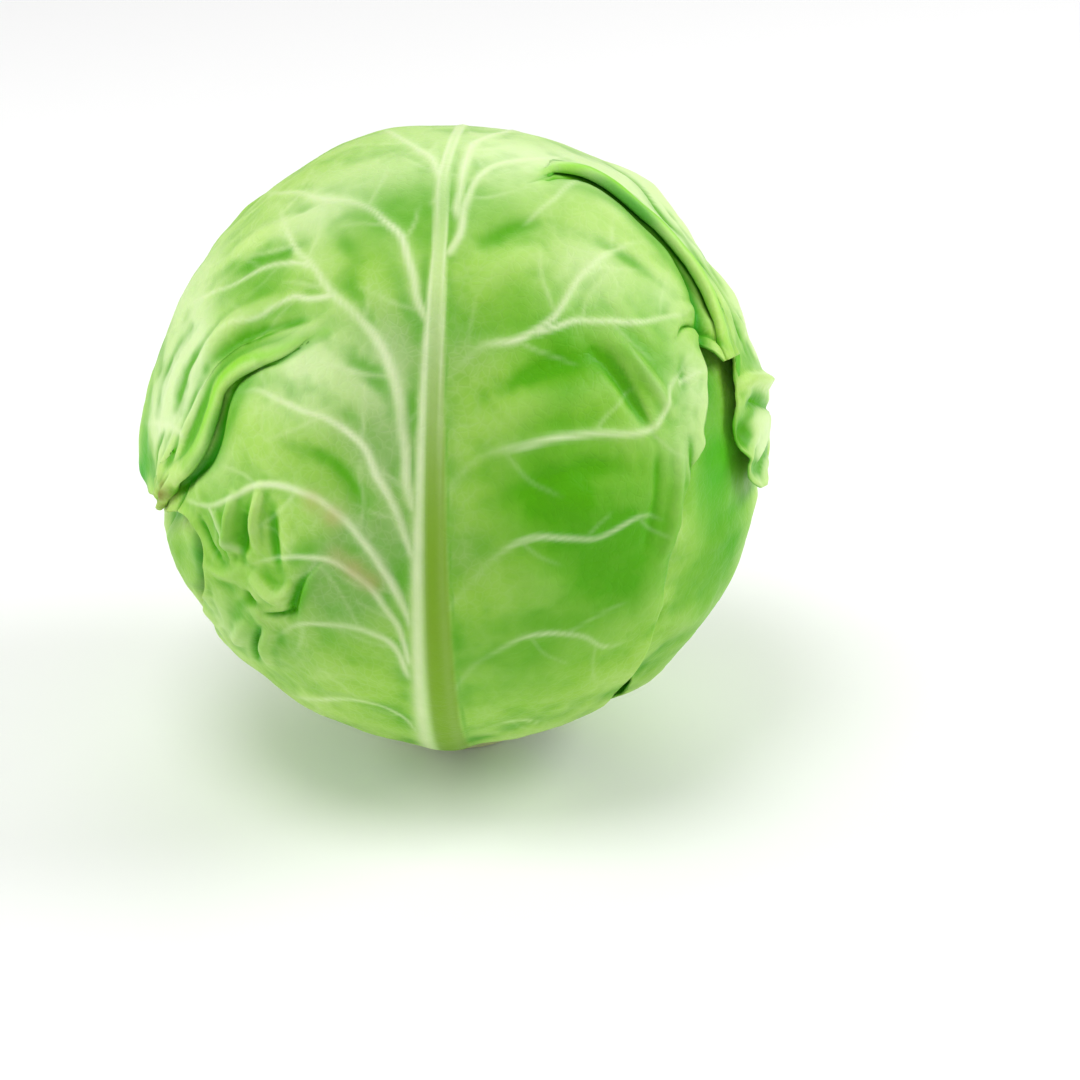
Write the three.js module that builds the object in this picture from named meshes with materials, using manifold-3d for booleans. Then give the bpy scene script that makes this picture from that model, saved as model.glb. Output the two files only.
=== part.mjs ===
// A whole round cabbage head standing on its cut stump.
// Millimetres, +Z up, front towards -Y. The origin is the middle of the stump's cut face.
import * as THREE from 'three';
import { mergeVertices } from 'three/addons/utils/BufferGeometryUtils.js';
import Module from 'manifold-3d';

// Driving sizes of the head
const HEAD_RADIUS = 95;
const HEAD_CENTRE_Z = 98;
const BLADE_THICKNESS = 0.9;
const LUMP_HEIGHT = 0.9;

// How deep each leaf's blade lies under the outermost one
const FRONT_DEPTH = 0;
const BACK_DEPTH = 3.2;
const LEFT_DEPTH = 6.5;
const RIGHT_DEPTH = 9;
const HEART_DEPTH = 12.5;

// The stump is a cone that points at the head's centre
const STUMP_HALF_ANGLE = 13.4;
const STUMP_TOP_Z = 13.5;
const STUMP_SIDES = 28;
const STUMP_EDGE_BEVEL = 1.2;
const SCAR_DEPTH = 0.7;
const SCAR_LEVELS = [4, 6, 9, 11];
const SCARS_ROUND = 5;
const HEART_GAP = 0.3;

// The heart's own grid, and the steps where its outer leaves overlap
const HEART_ROWS = 14;
const HEART_SIDES = 30;
const HEART_LEAVES_ROUND = 3;
const HEART_LEAF_STEP = 1.4;
const HEART_LOWEST_UP = -80;
const HEART_HIGHEST_UP = 84;
const HEART_SPIRAL = 0.45;

// The pleats of the front leaf, where its hood laps over its apron
const PLEAT_WIDTH = 2.2;
const PLEAT_HEIGHT = 2.5;
const PLEAT_START = -1.5;
const PLEAT_END = 3.5;
const LEFT_PLEAT_FADE = [0.4, 0.24];
const RIGHT_PLEAT_FADE = [0.63, 0.74];
// Steps across a pleat, as [across, outward] in pleat widths and pleat heights
const PLEAT_PROFILE = [
  [-1.5, 0], [0, -0.4], [0.8, -0.42], [1, -0.16], [0.5, 0.1],
  [-0.6, 0.2], [-1, 0.5], [-0.65, 0.92], [0.6, 0.85], [2, 0.3], [3.5, 0],
];

// Guide rows of the leaves, from base to tip. Each holds [round, up] in degrees from the
// head's front and girth, from the left margin to the right margin.
const FRONT_APRON_GUIDES = [
  [[-47, -76], [-33, -76], [-19, -76], [-5, -76], [9, -76], [23, -76], [37, -76]],
  [[-74, -46], [-52, -44], [-28, -42], [-5, -42], [12, -42], [27, -40], [40, -38]],
  [[-62, -24], [-44, -20], [-25, -18], [-5, -18], [11, -14], [26, -10], [40, -8]],
  [[-56, -13], [-42, -8], [-25, -4], [-5, 2], [12, 6], [28, 8], [43, 6]],
  [[-55, -5], [-42, 3], [-25, 10], [-5, 24], [16, 30], [35, 25], [52, 16]],
  [[-58, 0], [-45, 10], [-30, 24], [-5, 44], [26, 53], [52, 38], [62, 27]],
];
const PLEAT_LINE = [[-62, 3], [-48, 19], [-34, 37], [-5, 61], [55, 70], [74, 37], [69, 24]];
const FRONT_HOOD_GUIDES = [
  [[-73, -4], [-60, 21], [-44, 45], [-8, 76], [87, 68], [87, 36], [62, 13]],
  [[-86, -5], [-76, 32], [-62, 62], [175, 87], [118, 58], [94, 24], [67, 0]],
  [[-99, 6], [-96, 40], [-100, 66], [175, 70], [140, 50], [110, 20], [88, -3]],
  [[-110, 22], [-121, 42], [-144, 56], [176, 55], [152, 43], [126, 27], [107, 10]],
];
const BACK_GUIDES = [
  [[108, -76], [122, -76], [136, -76], [150, -76], [164, -76], [178, -76], [192, -76]],
  [[62, -50], [84, -49], [118, -47], [152, -46], [172, -47], [188, -49], [204, -50]],
  [[44, -20], [66, -18], [108, -12], [152, -10], [176, -11], [194, -13], [212, -16]],
  [[50, 10], [69, -3], [110, 12], [152, 22], [178, 20], [197, 16], [215, 12]],
  [[66, 3], [84, 15], [118, 30], [153, 38], [180, 35], [198, 30], [214, 24]],
  [[82, 26], [98, 37], [124, 48], [155, 56], [181, 52], [199, 46], [214, 38]],
  [[90, 48], [104, 59], [126, 68], [152, 76], [180, 72], [200, 66], [212, 60]],
];
const LEFT_GUIDES = [
  [[-159, -76], [-134, -76], [-109, -76], [-84, -76], [-59, -76]],
  [[-165, -46], [-136, -46], [-109, -44], [-80, -46], [-55, -48]],
  [[-168, -14], [-136, -14], [-108, -12], [-82, -14], [-60, -18]],
  [[-166, 16], [-136, 18], [-107, 18], [-82, 12], [-58, -4]],
  [[-158, 62], [-134, 62], [-106, 56], [-84, 44], [-68, 22]],
];
const RIGHT_GUIDES = [
  [[42, -76], [56, -76], [71, -76], [86, -76], [100, -76]],
  [[30, -44], [50, -46], [71, -46], [94, -46], [112, -44]],
  [[26, -6], [46, -8], [70, -8], [96, -8], [116, -6]],
  [[28, 28], [48, 32], [68, 34], [90, 32], [110, 26]],
  [[34, 44], [50, 50], [66, 52], [84, 50], [100, 44]],
];

// Side ribs, as [round, up] in degrees from the midrib outwards
const FRONT_RIBS = [
  [[-6, 43], [-9, 49], [-17, 59], [-31, 64], [-46, 66], [-61, 64], [-79, 60], [-98, 54]],
  [[-7, 12], [-11, 28], [-18, 40], [-30, 46], [-41, 50], [-53, 53], [-75, 55], [-90, 54]],
  [[-8, 3], [-16, 20], [-31, 26], [-44, 26]],
  [[-9, -10], [-18, 7], [-27, 12], [-36, 12], [-44, 7], [-51, 3]],
  [[-9, -19], [-15, -4], [-23, 1], [-33, -1], [-42, -6]],
  [[-3, 56], [1, 60], [9, 69], [34, 77], [60, 79]],
  [[-3, 34], [6, 39], [13, 40], [27, 42], [42, 39], [56, 36]],
  [[-2, 17], [7, 21], [14, 22], [27, 22], [37, 20], [45, 25], [53, 28]],
  [[-2, -8], [5, 2], [12, 5], [23, 4], [33, 2]],
];
const BACK_RIBS = [
  [[148, -34], [135, -20], [118, -6], [98, 2], [78, 4]],
  [[150, -8], [140, 8], [124, 22], [108, 30]],
  [[151, 14], [144, 28], [134, 38]],
  [[154, -34], [166, -20], [182, -8], [198, -4]],
  [[154, -8], [164, 8], [178, 18], [196, 20]],
  [[154, 16], [162, 28], [172, 36]],
];
const LEFT_RIBS = [
  [[-112, -34], [-124, -22], [-138, -14], [-152, -12]],
  [[-111, -10], [-120, 2], [-132, 8]],
  [[-106, -34], [-94, -22], [-80, -16], [-70, -14]],
  [[-106, -12], [-96, -2], [-86, 2]],
];
const RIB_WIDTH = [1.9, 0.9];
const RIB_RISE = [0.8, 0.35];
const RIB_SUNK = 0.6;
const RIB_STEP = 14;
const JOIN_TOLERANCE = 0.03;

// Where the hood's free edge and the apron's left edge run, for the leaves that lie under them
const HOOD_EDGE = [
  [62, -1], [88, -4], [107, 9], [126, 26], [152, 42], [176, 53], [216, 54], [239, 41],
  [250, 20], [261, 5], [274, -6], [287, -5], [300, 2],
];
const APRON_LEFT_EDGE = [[-76, 308], [-68, 293], [-60, 288], [-46, 284], [-24, 298], [-13, 304], [5, 303]];
const BACK_LIFT = 2.2;
const LEFT_LIFT = 5;

// Local swellings and hollows of the blades: middle, size across in degrees, height
const FRONT_SWELLS = [
  { round: -88, up: -1, size: 7, height: 3.6 },
  { round: -76, up: 1, size: 4, height: -0.8 },
  { round: 78, up: 10, size: 9, height: 1.6 },
  { round: 70, up: 60, size: 14, height: 1.2 },
  { round: 40, up: 30, size: 9, height: -0.7 },
  { round: -62, up: -22, size: 7, height: 0.8 },
  { round: -45, up: -14, size: 5, height: -0.9 },
];
const LEFT_SWELLS = [{ round: -68, up: -14, size: 8, height: 1.2 }];
const BACK_SWELLS = [{ round: 54, up: 9, size: 5, height: -0.6 }];

const LEAF_BASE_UP = -76;
const RIB_TIP_HALF_WIDTH = 1.2;
const RIB_TIP_RISE = 0.3;

const COLOURS = {
  stump: '#dfe3bd',
  heart: '#cfe0a0',
  front: '#9cc96f',
  back: '#93c266',
  left: '#8fbd60',
  right: '#7fa548',
};

const wasm = await Module();
wasm.setup();

// Directions and surfaces of the head
function direction(round, up) {
  const a = THREE.MathUtils.degToRad(round);
  const b = THREE.MathUtils.degToRad(up);
  return new THREE.Vector3(Math.sin(a) * Math.cos(b), -Math.cos(a) * Math.cos(b), Math.sin(b));
}

function degreesRound(d) {
  return THREE.MathUtils.radToDeg(Math.atan2(d.x, -d.y));
}

function degreesUp(d) {
  return THREE.MathUtils.radToDeg(Math.asin(THREE.MathUtils.clamp(d.z, -1, 1)));
}

function fade(from, to, x) {
  const t = THREE.MathUtils.clamp((x - from) / (to - from), 0, 1);
  return t * t * (3 - 2 * t);
}

function lumps(d) {
  const broad = Math.sin(3.1 * d.x + 1.7 * d.z) * Math.cos(2.6 * d.y - 1.1 * d.z);
  const small = Math.sin(6.3 * d.x - 4.1 * d.y + 2) * Math.sin(5.2 * d.z + 1.3 * d.x);
  return LUMP_HEIGHT * (broad + 0.5 * small);
}

function onHead(d, height) {
  const reach = HEAD_RADIUS + height + lumps(d);
  return d.clone().multiplyScalar(reach).add(new THREE.Vector3(0, 0, HEAD_CENTRE_Z));
}

// A smooth curve through unit directions, read at t from 0 to 1
function through(points, t) {
  const last = points.length - 1;
  const i = Math.min(Math.floor(t * last), last - 1);
  const f = t * last - i;
  const p1 = points[i];
  const p2 = points[i + 1];
  const p0 = i > 0 ? points[i - 1] : p1.clone().multiplyScalar(2).sub(p2);
  const p3 = i + 2 <= last ? points[i + 2] : p2.clone().multiplyScalar(2).sub(p1);
  const at = (a, b, c, d) => {
    const bend = 2 * a - 5 * b + 4 * c - d;
    const twist = 3 * (b - c) + d - a;
    return b + 0.5 * f * (c - a + f * (bend + f * twist));
  };
  return new THREE.Vector3(
    at(p0.x, p1.x, p2.x, p3.x),
    at(p0.y, p1.y, p2.y, p3.y),
    at(p0.z, p1.z, p2.z, p3.z),
  ).normalize();
}

function headingAlong(points, t) {
  const step = 0.01;
  return through(points, Math.min(1, t + step)).sub(through(points, Math.max(0, t - step))).normalize();
}

function loft(guides, u, v) {
  return through(guides.map((guide) => through(guide, u)), v);
}

function directions(guides) {
  return guides.map((guide) => guide.map(([round, up]) => direction(round, up)));
}

// Columns across a leaf: some follow the midrib's width, the rest spread to the margins
function columnPlaces(ribColumns, sideColumns) {
  const places = [];
  for (const rib of ribColumns.slice(1)) places.push({ side: 1, spread: 0, rib });
  for (let i = 1; i <= sideColumns; i += 1) {
    places.push({ side: 1, spread: i / sideColumns, rib: ribColumns.at(-1) });
  }
  const left = places.map((place) => ({ ...place, side: -1 })).reverse();
  return [...left, { side: 0, spread: 0, rib: 0 }, ...places];
}

function columnAt(place, halfWidth, perUnit) {
  const near = Math.min(place.rib * halfWidth / perUnit, 0.4);
  return 0.5 + place.side * (near + (0.5 - near) * place.spread);
}

// Closes a blade: its middle surface, thickened both ways, with an outward rise on the outer face
function blade(rows) {
  const rowCount = rows.length;
  const columnCount = rows[0].length;
  const positions = [];
  const index = [];
  const normalAt = (i, j) => {
    const along = rows[Math.min(i + 1, rowCount - 1)][j].point.clone()
      .sub(rows[Math.max(i - 1, 0)][j].point);
    const across = rows[i][Math.min(j + 1, columnCount - 1)].point.clone()
      .sub(rows[i][Math.max(j - 1, 0)].point);
    return across.cross(along).normalize();
  };
  for (const face of [1, -1]) {
    for (let i = 0; i < rowCount; i += 1) {
      for (let j = 0; j < columnCount; j += 1) {
        const rise = face > 0 ? rows[i][j].rise : 0;
        const lift = face * BLADE_THICKNESS / 2 + rise;
        const p = rows[i][j].point.clone().addScaledVector(normalAt(i, j), lift);
        positions.push(p.x, p.y, p.z);
      }
    }
  }
  const at = (face, i, j) => face * rowCount * columnCount + i * columnCount + j;
  for (let i = 0; i + 1 < rowCount; i += 1) {
    for (let j = 0; j + 1 < columnCount; j += 1) {
      index.push(at(0, i, j), at(0, i, j + 1), at(0, i + 1, j + 1));
      index.push(at(0, i, j), at(0, i + 1, j + 1), at(0, i + 1, j));
      index.push(at(1, i, j), at(1, i + 1, j + 1), at(1, i, j + 1));
      index.push(at(1, i, j), at(1, i + 1, j), at(1, i + 1, j + 1));
    }
  }
  const rim = [];
  for (let j = 0; j < columnCount; j += 1) rim.push([0, j]);
  for (let i = 1; i < rowCount; i += 1) rim.push([i, columnCount - 1]);
  for (let j = columnCount - 2; j >= 0; j -= 1) rim.push([rowCount - 1, j]);
  for (let i = rowCount - 2; i > 0; i -= 1) rim.push([i, 0]);
  rim.forEach(([i, j], k) => {
    const [ni, nj] = rim[(k + 1) % rim.length];
    index.push(at(0, i, j), at(1, i, j), at(1, ni, nj), at(0, i, j), at(1, ni, nj), at(0, ni, nj));
  });
  return geometryOf(positions, index);
}

function geometryOf(positions, index) {
  const geometry = new THREE.BufferGeometry();
  geometry.setAttribute('position', new THREE.Float32BufferAttribute(positions, 3));
  geometry.setIndex(index);
  return geometry;
}

// A tapered four-sided rib that follows a route on the leaf, with its lower edge in the blade
function ribGeometry(route, heightAt) {
  const points = route.map(([round, up]) => direction(round, up));
  let length = 0;
  for (let i = 1; i < points.length; i += 1) length += points[i].angleTo(points[i - 1]) * HEAD_RADIUS;
  const steps = Math.max(3, Math.round(length / RIB_STEP));
  const positions = [];
  const index = [];
  for (let s = 0; s <= steps; s += 1) {
    const d = through(points, s / steps);
    const across = headingAlong(points, s / steps).cross(d).normalize();
    const half = THREE.MathUtils.lerp(RIB_WIDTH[0], RIB_WIDTH[1], s / steps);
    const rise = THREE.MathUtils.lerp(RIB_RISE[0], RIB_RISE[1], s / steps);
    const skin = heightAt(d) + BLADE_THICKNESS / 2;
    const middle = onHead(d, skin);
    const top = onHead(d, skin + rise);
    const under = onHead(d, skin - RIB_SUNK);
    const right = middle.clone().addScaledVector(across, half);
    const left = middle.clone().addScaledVector(across, -half);
    for (const p of [top, right, under, left]) positions.push(p.x, p.y, p.z);
  }
  for (let s = 0; s < steps; s += 1) {
    for (let k = 0; k < 4; k += 1) {
      const a = s * 4 + k;
      const b = s * 4 + (k + 1) % 4;
      index.push(a, b, a + 4, b, b + 4, a + 4);
    }
  }
  const end = steps * 4;
  index.push(0, 2, 1, 0, 3, 2, end, end + 1, end + 2, end, end + 2, end + 3);
  return geometryOf(positions, index);
}

// Joins solids into one, by way of the solid library
function solidOf(geometry) {
  const bare = geometry.clone();
  for (const name of Object.keys(bare.attributes)) if (name !== 'position') bare.deleteAttribute(name);
  const merged = mergeVertices(bare, 1e-4);
  return new wasm.Manifold(new wasm.Mesh({
    numProp: 3,
    vertProperties: new Float32Array(merged.attributes.position.array),
    triVerts: new Uint32Array(merged.index.array),
  }));
}

function joined(geometry, others) {
  let solid = solidOf(geometry);
  for (const other of others) solid = solid.add(solidOf(other));
  const mesh = solid.simplify(JOIN_TOLERANCE).getMesh();
  return geometryOf(Array.from(mesh.vertProperties), Array.from(mesh.triVerts));
}

// The height of each leaf's middle surface over the head's radius, at a direction
function betweenPoints(points, x) {
  const i = Math.max(1, points.findIndex(([at]) => at > x));
  if (x >= points.at(-1)[0]) return points.at(-1)[1];
  const [x0, y0] = points[i - 1];
  const [x1, y1] = points[i];
  return THREE.MathUtils.lerp(y0, y1, THREE.MathUtils.clamp((x - x0) / (x1 - x0), 0, 1));
}

function fullTurn(degrees) {
  return (degrees + 360) % 360;
}

function uncoveredByHood(d) {
  const edge = betweenPoints(HOOD_EDGE, fullTurn(degreesRound(d)));
  return fade(edge - 1.5, edge - 8, degreesUp(d));
}

function swells(d, list) {
  let height = 0;
  for (const swell of list) {
    const angle = THREE.MathUtils.radToDeg(d.angleTo(direction(swell.round, swell.up)));
    height += swell.height * Math.exp(-((angle / swell.size) ** 2));
  }
  return height;
}

function frontHeight(d) {
  return swells(d, FRONT_SWELLS) - FRONT_DEPTH;
}

function backHeight(d) {
  const beyondApron = fade(46, 60, fullTurn(degreesRound(d)));
  return BACK_LIFT * uncoveredByHood(d) * beyondApron + swells(d, BACK_SWELLS) - BACK_DEPTH;
}

function leftHeight(d) {
  const turn = fullTurn(degreesRound(d));
  const edge = betweenPoints(APRON_LEFT_EDGE, degreesUp(d));
  const open = uncoveredByHood(d) * fade(218, 230, turn) * fade(edge - 1, edge - 6, turn);
  return open * (LEFT_LIFT + swells(d, LEFT_SWELLS)) - LEFT_DEPTH;
}

function rightHeight() {
  return -RIGHT_DEPTH;
}

// How the midrib swells a leaf: one at its middle, nothing past one and a half half-widths
const RIB_COLUMNS = [0, 0.55, 1, 1.5];
const RIB_PROFILE = [1, 0.78, 0.25, 0];

function ribShare(rib) {
  return RIB_PROFILE[RIB_COLUMNS.indexOf(rib)];
}

// One grid row of a leaf, from the directions that read(u) gives
function leafRow(leaf, places, read) {
  const middle = read(0.5);
  const perUnit = middle.angleTo(read(0.52)) / 0.02 * HEAD_RADIUS;
  const up = degreesUp(middle);
  const along = leaf.overTop && middle.y > 0 ? 180 - up - LEAF_BASE_UP : up - LEAF_BASE_UP;
  const share = THREE.MathUtils.clamp(along / leaf.ribLength, 0, 1);
  const halfWidth = THREE.MathUtils.lerp(leaf.ribHalfWidth, RIB_TIP_HALF_WIDTH, share);
  const rise = THREE.MathUtils.lerp(leaf.ribRise, RIB_TIP_RISE, share);
  return places.map((place) => {
    const u = columnAt(place, halfWidth, perUnit);
    return { u, direction: read(u), rise: place.spread > 0 ? 0 : rise * ribShare(place.rib) };
  });
}

// The waves of a leaf's free margins, which die away within its first twentieth
function ripple(leaf, u, v) {
  const reach = 0.05;
  const margin = Math.exp(-Math.min(u, 1 - u) / reach) + Math.exp(-(1 - v) / reach);
  const wave = 0.35 + 0.65 * Math.sin(leaf.waves * v + leaf.turn) * Math.cos(leaf.waves * 0.8 * u);
  return leaf.ripple * Math.min(margin, 1) * wave * fade(0.05, 0.2, v);
}

function surfaceRow(leaf, row, v, outward) {
  return row.map((cell) => {
    const height = leaf.heightAt(cell.direction) + outward(cell.u) + ripple(leaf, cell.u, v);
    return { point: onHead(cell.direction, height), rise: cell.rise };
  });
}

function plainLeaf(leaf) {
  const guides = directions(leaf.guides);
  const places = columnPlaces(RIB_COLUMNS, leaf.sideColumns);
  const rows = [];
  for (let i = 0; i <= leaf.rows; i += 1) {
    const v = i / leaf.rows;
    const row = leafRow(leaf, places, (u) => loft(guides, u, v));
    rows.push(surfaceRow(leaf, row, v, () => 0));
  }
  return joined(blade(rows), leaf.ribs.map((route) => ribGeometry(route, leaf.heightAt)));
}

// The front leaf: an apron, the pleats that lap over it, and the hood over the top of the head
function pleatShift(line, hoodGuide, u, across) {
  const d = through(line, u);
  const upward = d.clone().cross(headingAlong(line, u)).normalize();
  const lengthwise = through(hoodGuide, u).sub(d).normalize();
  const way = lengthwise.lerp(upward, pleatShare(u)).normalize();
  return d.clone().addScaledVector(way, across * PLEAT_WIDTH / HEAD_RADIUS).normalize();
}

function pleatShare(u) {
  return u < 0.5 ? fade(...LEFT_PLEAT_FADE, u) : fade(...RIGHT_PLEAT_FADE, u);
}

function pleatedLeaf(leaf) {
  const line = PLEAT_LINE.map(([round, up]) => direction(round, up));
  const hoodGuides = directions(leaf.hoodGuides);
  const stations = line.map((_, k) => k / (line.length - 1));
  const shifted = (across) => stations.map((u) => pleatShift(line, hoodGuides[0], u, across));
  const apron = [...directions(leaf.apronGuides), shifted(PLEAT_START)];
  const hood = [shifted(PLEAT_END), ...hoodGuides];
  const places = columnPlaces(RIB_COLUMNS, leaf.sideColumns);
  const rows = [];
  const addRow = (read, v, outward) => rows.push(surfaceRow(leaf, leafRow(leaf, places, read), v, outward));
  for (let i = 0; i < leaf.apronRows; i += 1) {
    const v = i / leaf.apronRows;
    addRow((u) => loft(apron, u, v), v / 2, () => 0);
  }
  PLEAT_PROFILE.forEach(([across, outward], k) => {
    const flat = THREE.MathUtils.lerp(PLEAT_START, PLEAT_END, k / (PLEAT_PROFILE.length - 1));
    const shift = (u) => THREE.MathUtils.lerp(flat, across, pleatShare(u));
    const read = (u) => pleatShift(line, hoodGuides[0], u, shift(u));
    addRow(read, 0.5, (u) => outward * pleatShare(u) * PLEAT_HEIGHT);
  });
  for (let i = 1; i <= leaf.hoodRows; i += 1) {
    const v = i / leaf.hoodRows;
    addRow((u) => loft(hood, u, v), 0.5 + v / 2, () => 0);
  }
  return joined(blade(rows), leaf.ribs.map((route) => ribGeometry(route, leaf.heightAt)));
}

// The stump: a short cone with a bevelled cut face and the scars of trimmed leaves
function stumpGeometry() {
  const slope = Math.tan(THREE.MathUtils.degToRad(STUMP_HALF_ANGLE));
  const radiusAt = (z) => (HEAD_CENTRE_Z - z) * slope;
  const levels = [0, STUMP_EDGE_BEVEL, ...SCAR_LEVELS, STUMP_TOP_Z];
  const positions = [0, 0, 0];
  for (const z of levels) {
    for (let k = 0; k < STUMP_SIDES; k += 1) {
      const a = k / STUMP_SIDES * 2 * Math.PI;
      const bevel = z === 0 ? STUMP_EDGE_BEVEL : 0;
      const scar = SCAR_LEVELS.includes(z) ? SCAR_DEPTH * (1 - Math.cos(SCARS_ROUND * a + z)) / 2 : 0;
      const reach = radiusAt(z) - bevel - scar;
      positions.push(reach * Math.cos(a), reach * Math.sin(a), z);
    }
  }
  positions.push(0, 0, STUMP_TOP_Z);
  const index = [];
  const top = 1 + levels.length * STUMP_SIDES;
  for (let k = 0; k < STUMP_SIDES; k += 1) {
    const next = (k + 1) % STUMP_SIDES;
    index.push(0, 1 + next, 1 + k, top, top - STUMP_SIDES + k, top - STUMP_SIDES + next);
    for (let level = 0; level + 1 < levels.length; level += 1) {
      const a = 1 + level * STUMP_SIDES;
      const b = a + STUMP_SIDES;
      index.push(a + k, a + next, b + next, a + k, b + next, b + k);
    }
  }
  return geometryOf(positions, index);
}

// The dense heart: a ball with the margins of its outer leaves standing in a spiral on it
function heartGeometry() {
  const positions = [];
  const index = [];
  const footZ = STUMP_TOP_Z + HEART_GAP;
  for (let i = 0; i <= HEART_ROWS; i += 1) {
    const up = THREE.MathUtils.lerp(HEART_LOWEST_UP, HEART_HIGHEST_UP, i / HEART_ROWS);
    for (let j = 0; j < HEART_SIDES; j += 1) {
      const d = direction(j / HEART_SIDES * 360 + up * HEART_SPIRAL, up);
      const across = (j / HEART_SIDES * HEART_LEAVES_ROUND) % 1;
      const step = HEART_LEAF_STEP * (across - 0.5) * fade(HEART_LOWEST_UP, -50, up);
      const p = onHead(d, step - HEART_DEPTH);
      positions.push(p.x, p.y, i === 0 ? footZ : p.z);
    }
  }
  for (let i = 0; i < HEART_ROWS; i += 1) {
    for (let j = 0; j < HEART_SIDES; j += 1) {
      const a = i * HEART_SIDES + j;
      const b = i * HEART_SIDES + (j + 1) % HEART_SIDES;
      index.push(a, b, b + HEART_SIDES, a, b + HEART_SIDES, a + HEART_SIDES);
    }
  }
  const foot = positions.length / 3;
  const crown = onHead(new THREE.Vector3(0, 0, 1), -HEART_DEPTH);
  positions.push(0, 0, footZ, crown.x, crown.y, crown.z);
  const topRow = HEART_ROWS * HEART_SIDES;
  for (let j = 0; j < HEART_SIDES; j += 1) {
    const next = (j + 1) % HEART_SIDES;
    index.push(foot, next, j, foot + 1, topRow + j, topRow + next);
  }
  return geometryOf(positions, index);
}

function piece(name, geometry, colour) {
  const material = new THREE.MeshStandardMaterial({ color: colour, roughness: 0.45, metalness: 0 });
  const mesh = new THREE.Mesh(geometry, material);
  mesh.name = name;
  return mesh;
}

const cabbage = new THREE.Group();
cabbage.add(piece('stump', stumpGeometry(), COLOURS.stump));
cabbage.add(piece('heart', heartGeometry(), COLOURS.heart));
cabbage.add(piece('right_leaf', plainLeaf({
  guides: RIGHT_GUIDES, ribs: [], heightAt: rightHeight, rows: 10, sideColumns: 5,
  ribHalfWidth: 8, ribRise: 2.2, ribLength: 110, ripple: 0.4, waves: 18, turn: 1,
}), COLOURS.right));
cabbage.add(piece('left_leaf', plainLeaf({
  guides: LEFT_GUIDES, ribs: LEFT_RIBS, heightAt: leftHeight, rows: 13, sideColumns: 6,
  ribHalfWidth: 9, ribRise: 2.4, ribLength: 96, ripple: 0.6, waves: 24, turn: 0.5,
}), COLOURS.left));
cabbage.add(piece('back_leaf', plainLeaf({
  guides: BACK_GUIDES, ribs: BACK_RIBS, heightAt: backHeight, rows: 17, sideColumns: 8,
  ribHalfWidth: 10, ribRise: 3, ribLength: 122, ripple: 0.8, waves: 26, turn: 2,
}), COLOURS.back));
cabbage.add(piece('front_leaf', pleatedLeaf({
  apronGuides: FRONT_APRON_GUIDES, hoodGuides: FRONT_HOOD_GUIDES, ribs: FRONT_RIBS,
  heightAt: frontHeight, apronRows: 13, hoodRows: 11, sideColumns: 12, overTop: true,
  ribHalfWidth: 11, ribRise: 3.4, ribLength: 175, ripple: 1.2, waves: 30, turn: 0,
}), COLOURS.front));
export default cabbage;
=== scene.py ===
# A whole round cabbage head on its cut stump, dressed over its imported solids.
# Shapes are worked out in millimetres, turned round the head from its front and up from its girth,
# and written to the meshes in metres.
import math

import bpy
import numpy as np
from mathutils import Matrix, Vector


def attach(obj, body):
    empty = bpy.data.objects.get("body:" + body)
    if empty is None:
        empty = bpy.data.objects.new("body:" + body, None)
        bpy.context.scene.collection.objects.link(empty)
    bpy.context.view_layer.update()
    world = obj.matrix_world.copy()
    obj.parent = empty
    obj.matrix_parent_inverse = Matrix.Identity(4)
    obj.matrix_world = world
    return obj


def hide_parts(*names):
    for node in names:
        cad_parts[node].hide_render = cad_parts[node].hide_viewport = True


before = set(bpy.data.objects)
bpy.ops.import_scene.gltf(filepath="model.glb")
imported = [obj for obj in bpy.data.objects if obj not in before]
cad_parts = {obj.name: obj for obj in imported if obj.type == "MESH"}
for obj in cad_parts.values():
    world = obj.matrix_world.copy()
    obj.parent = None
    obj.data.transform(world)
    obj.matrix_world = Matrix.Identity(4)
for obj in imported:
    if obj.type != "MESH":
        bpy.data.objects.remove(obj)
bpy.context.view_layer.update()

METRES = 0.001

# The head, as its solids state it
HEAD_RADIUS = 95.0
HEAD_CENTRE_Z = 98.0
LUMP_HEIGHT = 0.9
BACK_DEPTH = 3.2
LEFT_DEPTH = 6.5
RIGHT_DEPTH = 9.0
HEART_DEPTH = 12.5
LEAF_BASE_UP = -76.0
STUMP_HALF_ANGLE = 13.4
STUMP_TOP_Z = 13.5

# The blades, a little thinner than their solids
BLADE_THICKNESS = 0.8

# The heart's lapped leaves
HEART_LEAVES_ROUND = 3
HEART_LEAF_STEP = 1.4
HEART_LOWEST_UP = -80.0
HEART_HIGHEST_UP = 84.0
HEART_STEP_FULL_UP = -50.0
HEART_SPIRAL = 0.45
HEART_UNEVENNESS = 0.3
HEART_FOOT_Z = 13.8
HEART_SIDES = 216
HEART_RINGS = 110

# The cut stump and the leaf scars round it
STUMP_SIDES = 140
STUMP_RINGS = 40
STUMP_BEVEL = 1.2
SCAR_LEVELS = (4, 6, 9, 11)
SCAR_DEPTH = 0.7
SCAR_HALF_WIDTH = 0.8
SCARS_ROUND = 5
SMOOTH_ANGLE = 50.0

# Drawn lines: how finely their routes are followed, and how far beside them they can reach
ROUTE_STEP = 1.5
LINE_REACH = 16.0
STROKE_REACH = 12.0

# Small veins that leave the drawn ones, with their size beside the drawn vein's
BRANCH_SPACING = 15.0
BRANCH_ANGLES = (38, 62)
BRANCH_LENGTHS = (12, 24)
BRANCH_SIZE = 0.26

# The midrib where it ends
RIB_TIP_HALF_WIDTH = 1.4
RIB_TIP_RISE = 0.15

# How far the rippled and the frilled margins reach in, as shares of the leaf
RIPPLE_REACH = 0.05
FRILL_REACH = 0.035
FRILL_SIDEWAYS = 1.3

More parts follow.
